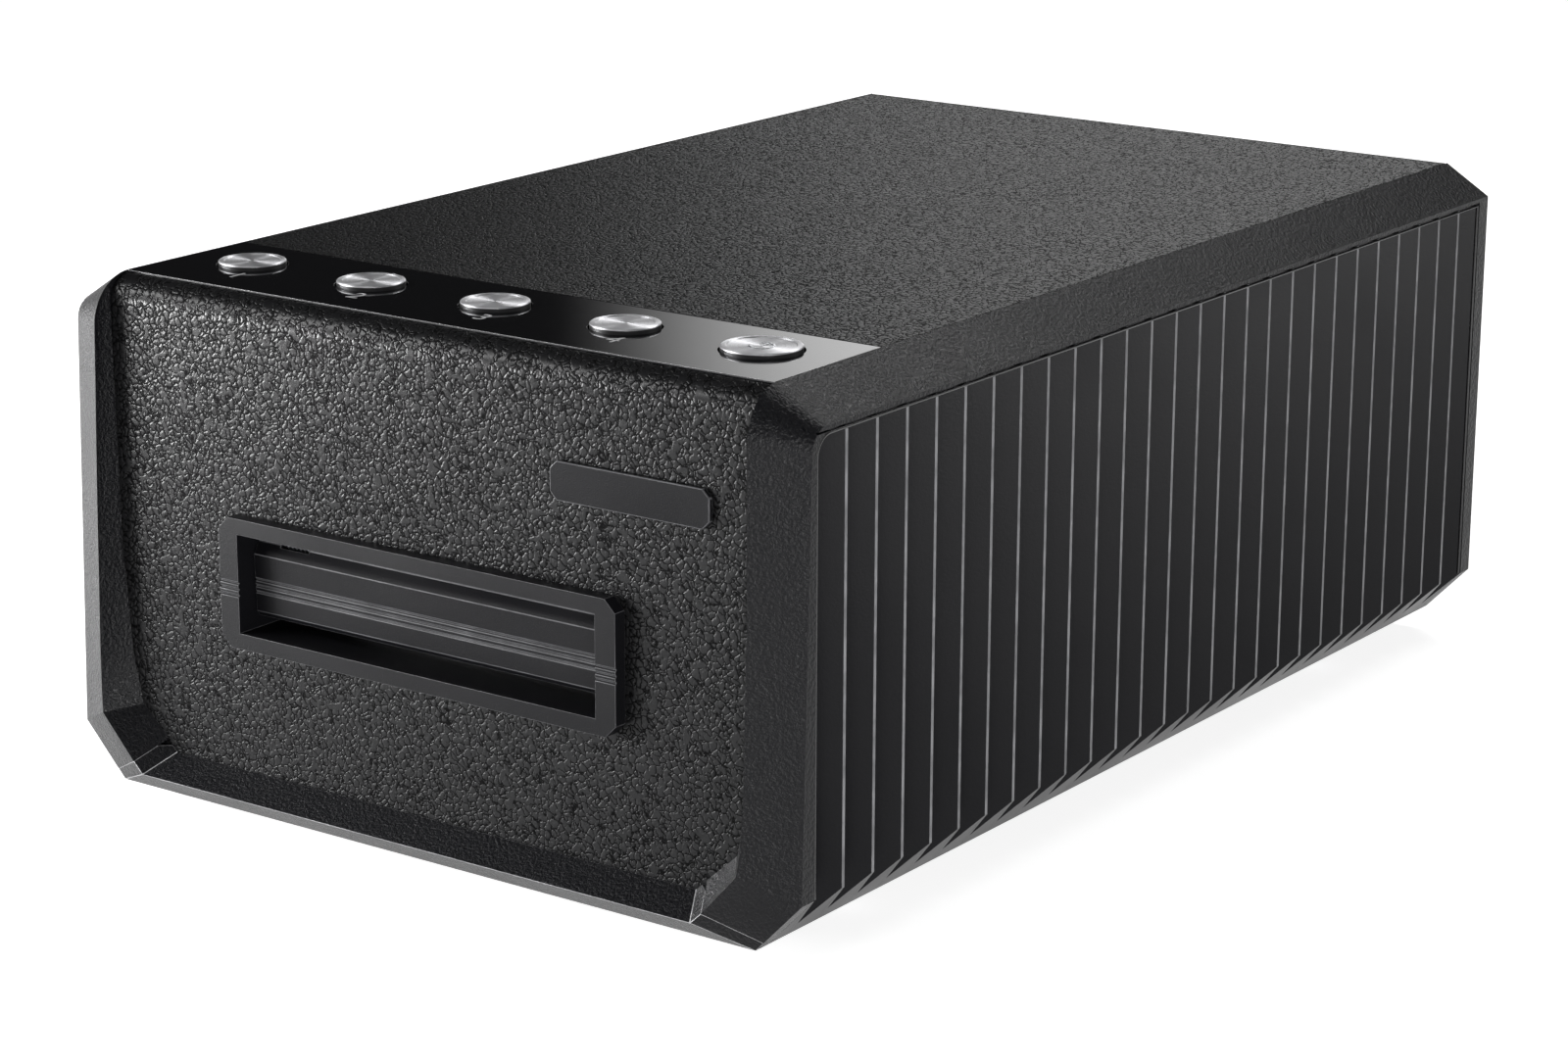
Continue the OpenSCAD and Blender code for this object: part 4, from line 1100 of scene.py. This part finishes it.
@dataclass
class ControlStrip(SubAssembly):
    """The glossy strip, its caps, the numerals and the power mark."""

    strip_radius_mm: float = 0.38
    strip_steps: int = 4
    skirt_mm: float = 3.3  # Height of a cap without its stem
    brow_mm: float = 0.3  # Rounding of its upper edge
    land_mm: float = 0.75  # Width of the bright land round it
    slope_mm: float = 0.18  # Width of the slope inside the land
    dish_mm: float = 0.16  # How far its face lies below the land
    hollow_mm: float = 0.03  # How far the middle of the face lies below the rest
    hollow_share: float = 0.45  # Where that hollow begins, as a share of the radius
    stem_mm: float = 2.5  # Radius of its stem
    numeral_mm: float = 4.3
    type_share: float = 1.35  # Size of type to height of numeral
    print_mm: float = 0.02
    numeral_place_mm: Pair = (4.6, -9.2)  # From a cap's centre
    ring_mm: float = 2.1  # Radius of the power mark's ring
    ring_gap: float = 70.0  # The gap in it, in degrees
    line_mm: float = 0.55  # Width of its lines
    proud_mm: float = 0.14  # Their height
    root_mm: float = 0.06  # How far they reach below the dished face
    line_radius_mm: float = 0.05  # Rounding of their edges
    ring_steps: int = 40
    bar_place: float = 0.75  # Where the bar's middle lies, as a share of the ring's radius
    bar_length: float = 1.2  # Its length, as such a share
    faces_round: int = 96
    nodes: Sequence[str] = ("button_cap_1", "button_cap_2", "button_cap_3", "button_cap_4",
                            "power_button_cap")

    def build(self) -> None:
        """Builds the strip, then a cap for each button, and the marks."""
        renew("control_panel", "control_strip", GLOSS_BLACK, self.strip_radius_mm,
              self.strip_steps)
        for number, node in enumerate(self.nodes, 1):
            power = node == "power_button_cap"
            body = "power_button" if power else f"button_{number}"
            dress(self.cap(node), SPUN_CAP, body, [node])
            if power:
                dress(self.power_mark(node), SCREW_STEEL, body)
            else:
                dress(self.numeral(node, str(number)), PRINT)

    def centre(self, node: str) -> tuple[float, float, float, float]:
        """A cap's centre, its radius and the height of its top."""
        low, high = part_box(node)
        return (low.x + high.x) / 2, (low.y + high.y) / 2, (high.x - low.x) / 2, high.z

    def cap(self, node: str) -> Piece:
        """A turned cap on its stem: a bright land round a dished face.

        Args:
            node: The CAD node.

        Returns:
            The cap.
        """
        x, y, radius, top = self.centre(node)
        low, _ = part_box(node)
        skirt = self.skirt_mm * MM
        bpy.ops.mesh.primitive_cylinder_add(
            vertices=self.faces_round, radius=radius, depth=skirt, end_fill_type="NGON",
            location=(x, y, top - skirt / 2))
        cap = newest(node + "_turned")
        settle(cap)
        choose(cap, Part.FACE, lambda face: face.normal.z > 0.9)
        bpy.ops.mesh.bevel(offset=self.brow_mm * MM, segments=3, affect="EDGES")
        end_edit()
        choose(cap, Part.FACE, lambda face: face.normal.z > 0.999)
        bpy.ops.mesh.inset(thickness=self.land_mm * MM)
        bpy.ops.mesh.inset(thickness=self.slope_mm * MM, depth=-self.dish_mm * MM)
        bpy.ops.mesh.inset(thickness=radius * self.hollow_share, depth=-self.hollow_mm * MM)
        end_edit()
        choose(cap, Part.FACE, lambda face: face.normal.z < -0.9)
        bpy.ops.mesh.inset(thickness=radius - self.stem_mm * MM)
        stem = top - skirt - low.z
        bpy.ops.mesh.extrude_region_move(TRANSFORM_OT_translate={"value": (0, 0, -stem)})
        end_edit()
        return smooth(cap, 32)

    def numeral(self, node: str, text: str) -> Piece:
        """A printed numeral in front of a cap.

        Args:
            node: The cap's CAD node.
            text: The numeral.

        Returns:
            The print.
        """
        x, y, _, _ = self.centre(node)
        right, front = (step * MM for step in self.numeral_place_mm)
        clear_selection()
        bpy.ops.object.text_add(location=(x + right, y + front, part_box("control_panel")[1].z))
        mark = bpy.context.active_object
        mark.data.body = text
        mark.data.align_x = mark.data.align_y = "CENTER"
        mark.data.size = self.numeral_mm * MM * self.type_share
        mark.data.extrude = self.print_mm * MM
        take(mark)
        bpy.ops.object.convert(target="MESH")
        return settle(newest(f"numeral_{text}"))

    def power_mark(self, node: str) -> Piece:
        """A raised ring with a gap and a bar, the general sign for power.

        Args:
            node: The cap's CAD node.

        Returns:
            The mark.
        """
        x, y, _, top = self.centre(node)
        level = top - (self.dish_mm + self.root_mm) * MM
        radius, line, proud = self.ring_mm * MM, self.line_mm * MM, self.proud_mm * MM
        gap = math.radians(self.ring_gap)
        clear_selection()
        bpy.ops.mesh.primitive_plane_add(
            size=1, location=(x + radius, y, level + proud / 2), rotation=(math.pi / 2, 0, 0))
        ring = bpy.context.active_object
        ring.scale = (line, proud, 1)
        settle(ring)
        edit_all(ring)
        bpy.ops.mesh.spin(steps=self.ring_steps, angle=2 * math.pi - gap,
                          center=(x, y, level), axis=(0, 0, 1))
        end_edit()
        turn = math.pi / 2 + gap / 2
        ring.data.transform(Matrix.Translation((x, y, 0)) @ Matrix.Rotation(turn, 4, "Z")
                            @ Matrix.Translation((-x, -y, 0)))
        bpy.ops.mesh.primitive_cube_add(
            size=1, location=(x, y + radius * self.bar_place, level + proud / 2))
        bar = bpy.context.active_object
        bar.scale = (line, radius * self.bar_length, proud)
        settle(bar)
        ring.select_set(True)
        bpy.context.view_layer.objects.active = ring
        bpy.ops.object.join()
        mark = newest("power_mark")
        face_outwards(mark, weld=True)
        apply(mark, "BEVEL", width=self.line_radius_mm * MM, segments=2, limit_method="ANGLE")
        return smooth(mark)


@dataclass
class SlotFront(SubAssembly):
    """Bezel, badge plate and front dust flap; the sizes are their edges' roundings."""

    edge_mm: float = 0.22
    blade_mm: float = 0.12

    def build(self) -> None:
        """Rounds the bezel, the bare badge plate and the flap."""
        renew("slot_bezel", "slot_bezel_shell", BEZEL_PLASTIC, self.edge_mm)
        renew("badge_plate", "badge_plate_bare", BLADE_PLASTIC, self.edge_mm, 3)
        renew("dust_flap", "dust_flap_blade", BLADE_PLASTIC, self.blade_mm, body="dust_flap")
        coat("flap_pins", SHAFT_STEEL)
        coat("flap_spring", SPRING_WIRE)


@dataclass
class RearFace(SubAssembly):
    """Rear panel, its flap and its sockets; the sizes are their edges' roundings."""

    edge_mm: float = 0.25
    blade_mm: float = 0.15
    socket_mm: float = 0.12

    def build(self) -> None:
        """Rounds each piece and gives it its finish."""
        renew("rear_panel", "rear_panel_shell", FRAME_PLASTIC, self.edge_mm)
        renew("rear_flap", "rear_flap_blade", BEZEL_PLASTIC, self.blade_mm, body="rear_flap")
        renew("dc_jack", "power_socket", BLACK_PLASTIC, self.socket_mm)
        renew("usb_port", "data_socket", NICKEL, self.socket_mm)


@dataclass
class Works(SubAssembly):
    """Transport, optics and boards inside the casing, whose CAD nodes stay."""

    kept: Sequence[tuple[Finish, str]] = (
        (SHAFT_STEEL, "gear_post front_roller_shaft rear_roller_shaft"),
        (SHAFT_STEEL, "front_pinch_axle rear_pinch_axle"),
        (SPRING_WIRE, "front_pinch_springs rear_pinch_springs"),
        (ZINC_SHEET, "transport_plate_left transport_plate_right stepper_motor"),
        (RUBBER, "front_roller_tyres rear_roller_tyres drive_belt"),
        (ACETAL, "reduction_gear front_roller_gear rear_pulley"),
        (ACETAL, "front_pinch_rollers rear_pinch_rollers"),
        (BRASS, "motor_pinion shaft_bushes"),
        (BOARD, "button_board main_board sensor_board"),
        (BLACK_PLASTIC, "tact_switches lower_film_guide upper_film_guide"),
        (BLACK_PLASTIC, "optics_cradle lens_barrel"),
        (OPAL, "light_housing led_board diffuser"),
        (RIBBON, "ribbon_cable"),
        (LENS, "lens_glass"),
        (MIRROR, "scan_mirror"),
    )

    def build(self) -> None:
        """Gives each inner node its finish."""
        for finish, nodes in self.kept:
            for node in nodes.split():
                coat(node, finish)


@dataclass
class Underside(SubAssembly):
    """Rubber feet and case screws; the sizes are their edges' roundings."""

    foot_mm: float = 0.5
    screw_mm: float = 0.12

    def build(self) -> None:
        """Rounds the feet and the screws."""
        renew("rubber_feet", "feet_turned", RUBBER, self.foot_mm, 3)
        renew("case_screws", "case_screws_turned", SCREW_STEEL, self.screw_mm)


# ---- studio


@dataclass(frozen=True)
class SoftBox:
    """A rectangular lamp that looks at the object and stays out of the picture; in metres."""

    name: str
    azimuth: float  # Degrees from +Y towards -X
    elevation: float  # Degrees above the floor
    distance: float
    width: float
    height: float
    radiance: float  # How bright its face is

    def hang(self, target: Vector) -> None:
        """Hangs the lamp so that it faces a point.

        Args:
            target: The point.
        """
        turn, rise = math.radians(self.azimuth), math.radians(self.elevation)
        away = Vector((-math.sin(turn) * math.cos(rise), math.cos(turn) * math.cos(rise),
                       math.sin(rise)))
        light = bpy.data.lights.new(self.name, "AREA")
        light.shape = "RECTANGLE"
        light.size, light.size_y = self.width, self.height
        light.energy = self.radiance * math.pi * self.width * self.height
        lamp = bpy.data.objects.new(self.name, light)
        bpy.context.scene.collection.objects.link(lamp)
        lamp.location = target + away * self.distance
        lamp.rotation_euler = away.to_track_quat("Z", "Y").to_euler()
        lamp.visible_camera = False


@dataclass
class Studio:
    """Pale floor, soft lamps and the camera at the photograph's angle.

    The camera's yaw runs from +Y towards -X. In the surroundings, turns run from +Y towards +X
    and rises from the floor up. A pair of either is where a level starts and ends its change.
    """

    eye: Sequence[float] = (0.4491, -0.6392, 0.2601)  # The camera's place
    yaw: float = 35.55
    pitch: float = 15.85  # Below the horizon
    roll: float = 0.22
    lens: float = 90.97  # Millimetres, for a 36 mm sensor
    floor_half: float = 9.0
    floor_glow: float = 0.85  # Seen by the camera and in reflections
    aim: Sequence[float] = (0, 0, 0.05)  # Where the lamps look
    horizon: float = 0.8  # The surroundings' level near the horizon
    zenith: float = 0.012  # Their level higher up
    low_rise: Pair = (0, 3)  # Where they darken on the side that the strip mirrors
    high_rise: Pair = (6, 26)  # Where they darken elsewhere
    dark_from: Pair = (-60, -50)  # That side's start
    dark_to: Pair = (15, 35)  # Its end
    card: float = 1.7  # The level of the soft card behind the object
    card_from: Pair = (-39, -34)  # Its start
    card_to: Pair = (-25, -14)  # Its end
    card_rise: Pair = (17, 24)  # Its upper end
    lamps: Sequence[SoftBox] = (
        SoftBox("key_front_left", 124, 2, 0.8, 0.40, 0.12, 76.0),
        SoftBox("key_upper", 132, 30, 1.0, 0.50, 0.16, 18.0),
        SoftBox("overhead_rear", 0, 47, 0.885, 0.80, 0.16, 8.0),
        SoftBox("low_right", -131, 0, 0.8, 0.45, 0.09, 30.0),
        SoftBox("overhead_front", 180, 68, 1.4, 0.8, 0.8, 1.2),
    )

    def build(self) -> None:
        """Sets up the whole studio."""
        self.floor()
        self.surroundings()
        for lamp in self.lamps:
            lamp.hang(Vector(self.aim))
        self.camera()
        bpy.context.scene.view_settings.view_transform = "Standard"

    def floor(self) -> None:
        """A pale floor that shows white and keeps the object's shadow."""
        clear_selection()
        bpy.ops.mesh.primitive_plane_add(size=2 * self.floor_half, location=(0, 0, 0))
        floor = bpy.context.active_object
        floor.name = "floor"
        graph = Surface("pale floor")
        tone = graph.noise(400, None, 2)
        graph.set(Base_Color=graph.tint(tone, (0.62, 0.62, 0.62), (0.66, 0.66, 0.66)),
                  Roughness=0.9, Specular_IOR_Level=0.05)
        path = graph.add("ShaderNodeLightPath")
        seen = graph.calc("MAXIMUM", path.outputs["Is Camera Ray"], graph.calc(
            "MAXIMUM", path.outputs["Is Glossy Ray"], path.outputs["Is Transmission Ray"]))
        glow = graph.add("ShaderNodeEmission")
        glow.inputs["Color"].default_value = (1, 1, 1, 1)
        graph.feed(glow.inputs["Strength"], graph.calc("MULTIPLY", seen, self.floor_glow))
        both = graph.add("ShaderNodeAddShader")
        graph.feed(both.inputs[0], graph.shader.outputs["BSDF"])
        graph.feed(both.inputs[1], glow.outputs["Emission"])
        graph.feed(graph.output.inputs["Surface"], both.outputs["Shader"])
        floor.data.materials.append(graph.material)

    def surroundings(self) -> None:
        """A pale horizon below dark surroundings, with a soft card behind the object."""
        world = bpy.data.worlds.new("studio")
        bpy.context.scene.world = world
        world.use_nodes = True
        graph = Graph(world.node_tree)
        axes = graph.add("ShaderNodeSeparateXYZ")
        graph.feed(axes.inputs["Vector"], graph.add("ShaderNodeTexCoord").outputs["Generated"])
        bearing = graph.calc("ARCTAN2", axes.outputs["X"], axes.outputs["Y"])

        def by_rise(rises: Pair, first: float, last: float) -> Socket:
            """A level that changes between two rises."""
            ends = (math.sin(math.radians(angle)) for angle in rises)
            return graph.remap(axes.outputs["Z"], *ends, first, last)

        def by_turn(turns: Pair, first: float, last: float) -> Socket:
            """A level that changes between two turns."""
            return graph.remap(bearing, *map(math.radians, turns), first, last)

        low = by_rise(self.low_rise, self.horizon, self.zenith)
        high = by_rise(self.high_rise, self.horizon, self.zenith)
        clear = graph.calc("MAXIMUM", by_turn(self.dark_from, 1, 0), by_turn(self.dark_to, 0, 1))
        ring = graph.calc("MAXIMUM", low, graph.calc("MULTIPLY", high, clear))
        wide = graph.calc("MULTIPLY", by_turn(self.card_from, 0, self.card),
                          by_turn(self.card_to, 1, 0))
        card = graph.calc("MULTIPLY", wide, by_rise(self.card_rise, 1, 0))
        background = world.node_tree.nodes["Background"]
        graph.feed(background.inputs["Strength"], graph.calc("ADD", ring, card))
        background.inputs["Color"].default_value = (1, 1, 1, 1)

    def camera(self) -> None:
        """Puts the camera where the photograph was taken from."""
        yaw, pitch, roll = (math.radians(a) for a in (self.yaw, self.pitch, self.roll))
        forward = Vector((-math.sin(yaw) * math.cos(pitch), math.cos(yaw) * math.cos(pitch),
                          -math.sin(pitch)))
        level = Vector((math.cos(yaw), math.sin(yaw), 0))
        over = level.cross(forward)
        right = level * math.cos(roll) + over * math.sin(roll)
        up = over * math.cos(roll) - level * math.sin(roll)
        data = bpy.data.cameras.new("photo_camera")
        data.sensor_width = 36
        data.lens = self.lens
        camera = bpy.data.objects.new("photo_camera", data)
        bpy.context.scene.collection.objects.link(camera)
        turned = Matrix((right, up, -forward)).transposed().to_4x4()
        camera.matrix_world = Matrix.Translation(Vector(self.eye)) @ turned
        bpy.context.scene.camera = camera


def main() -> None:
    """Builds the studio and every sub-assembly."""
    logging.basicConfig(level=logging.INFO, format="%(name)s: %(message)s")
    Studio().build()
    for group in (Casing(), PleatRims(), ControlStrip(), SlotFront(), RearFace(), Works(),
                  Underside()):
        group.build()
    clear_selection()


if __name__ == "__main__":
    main()
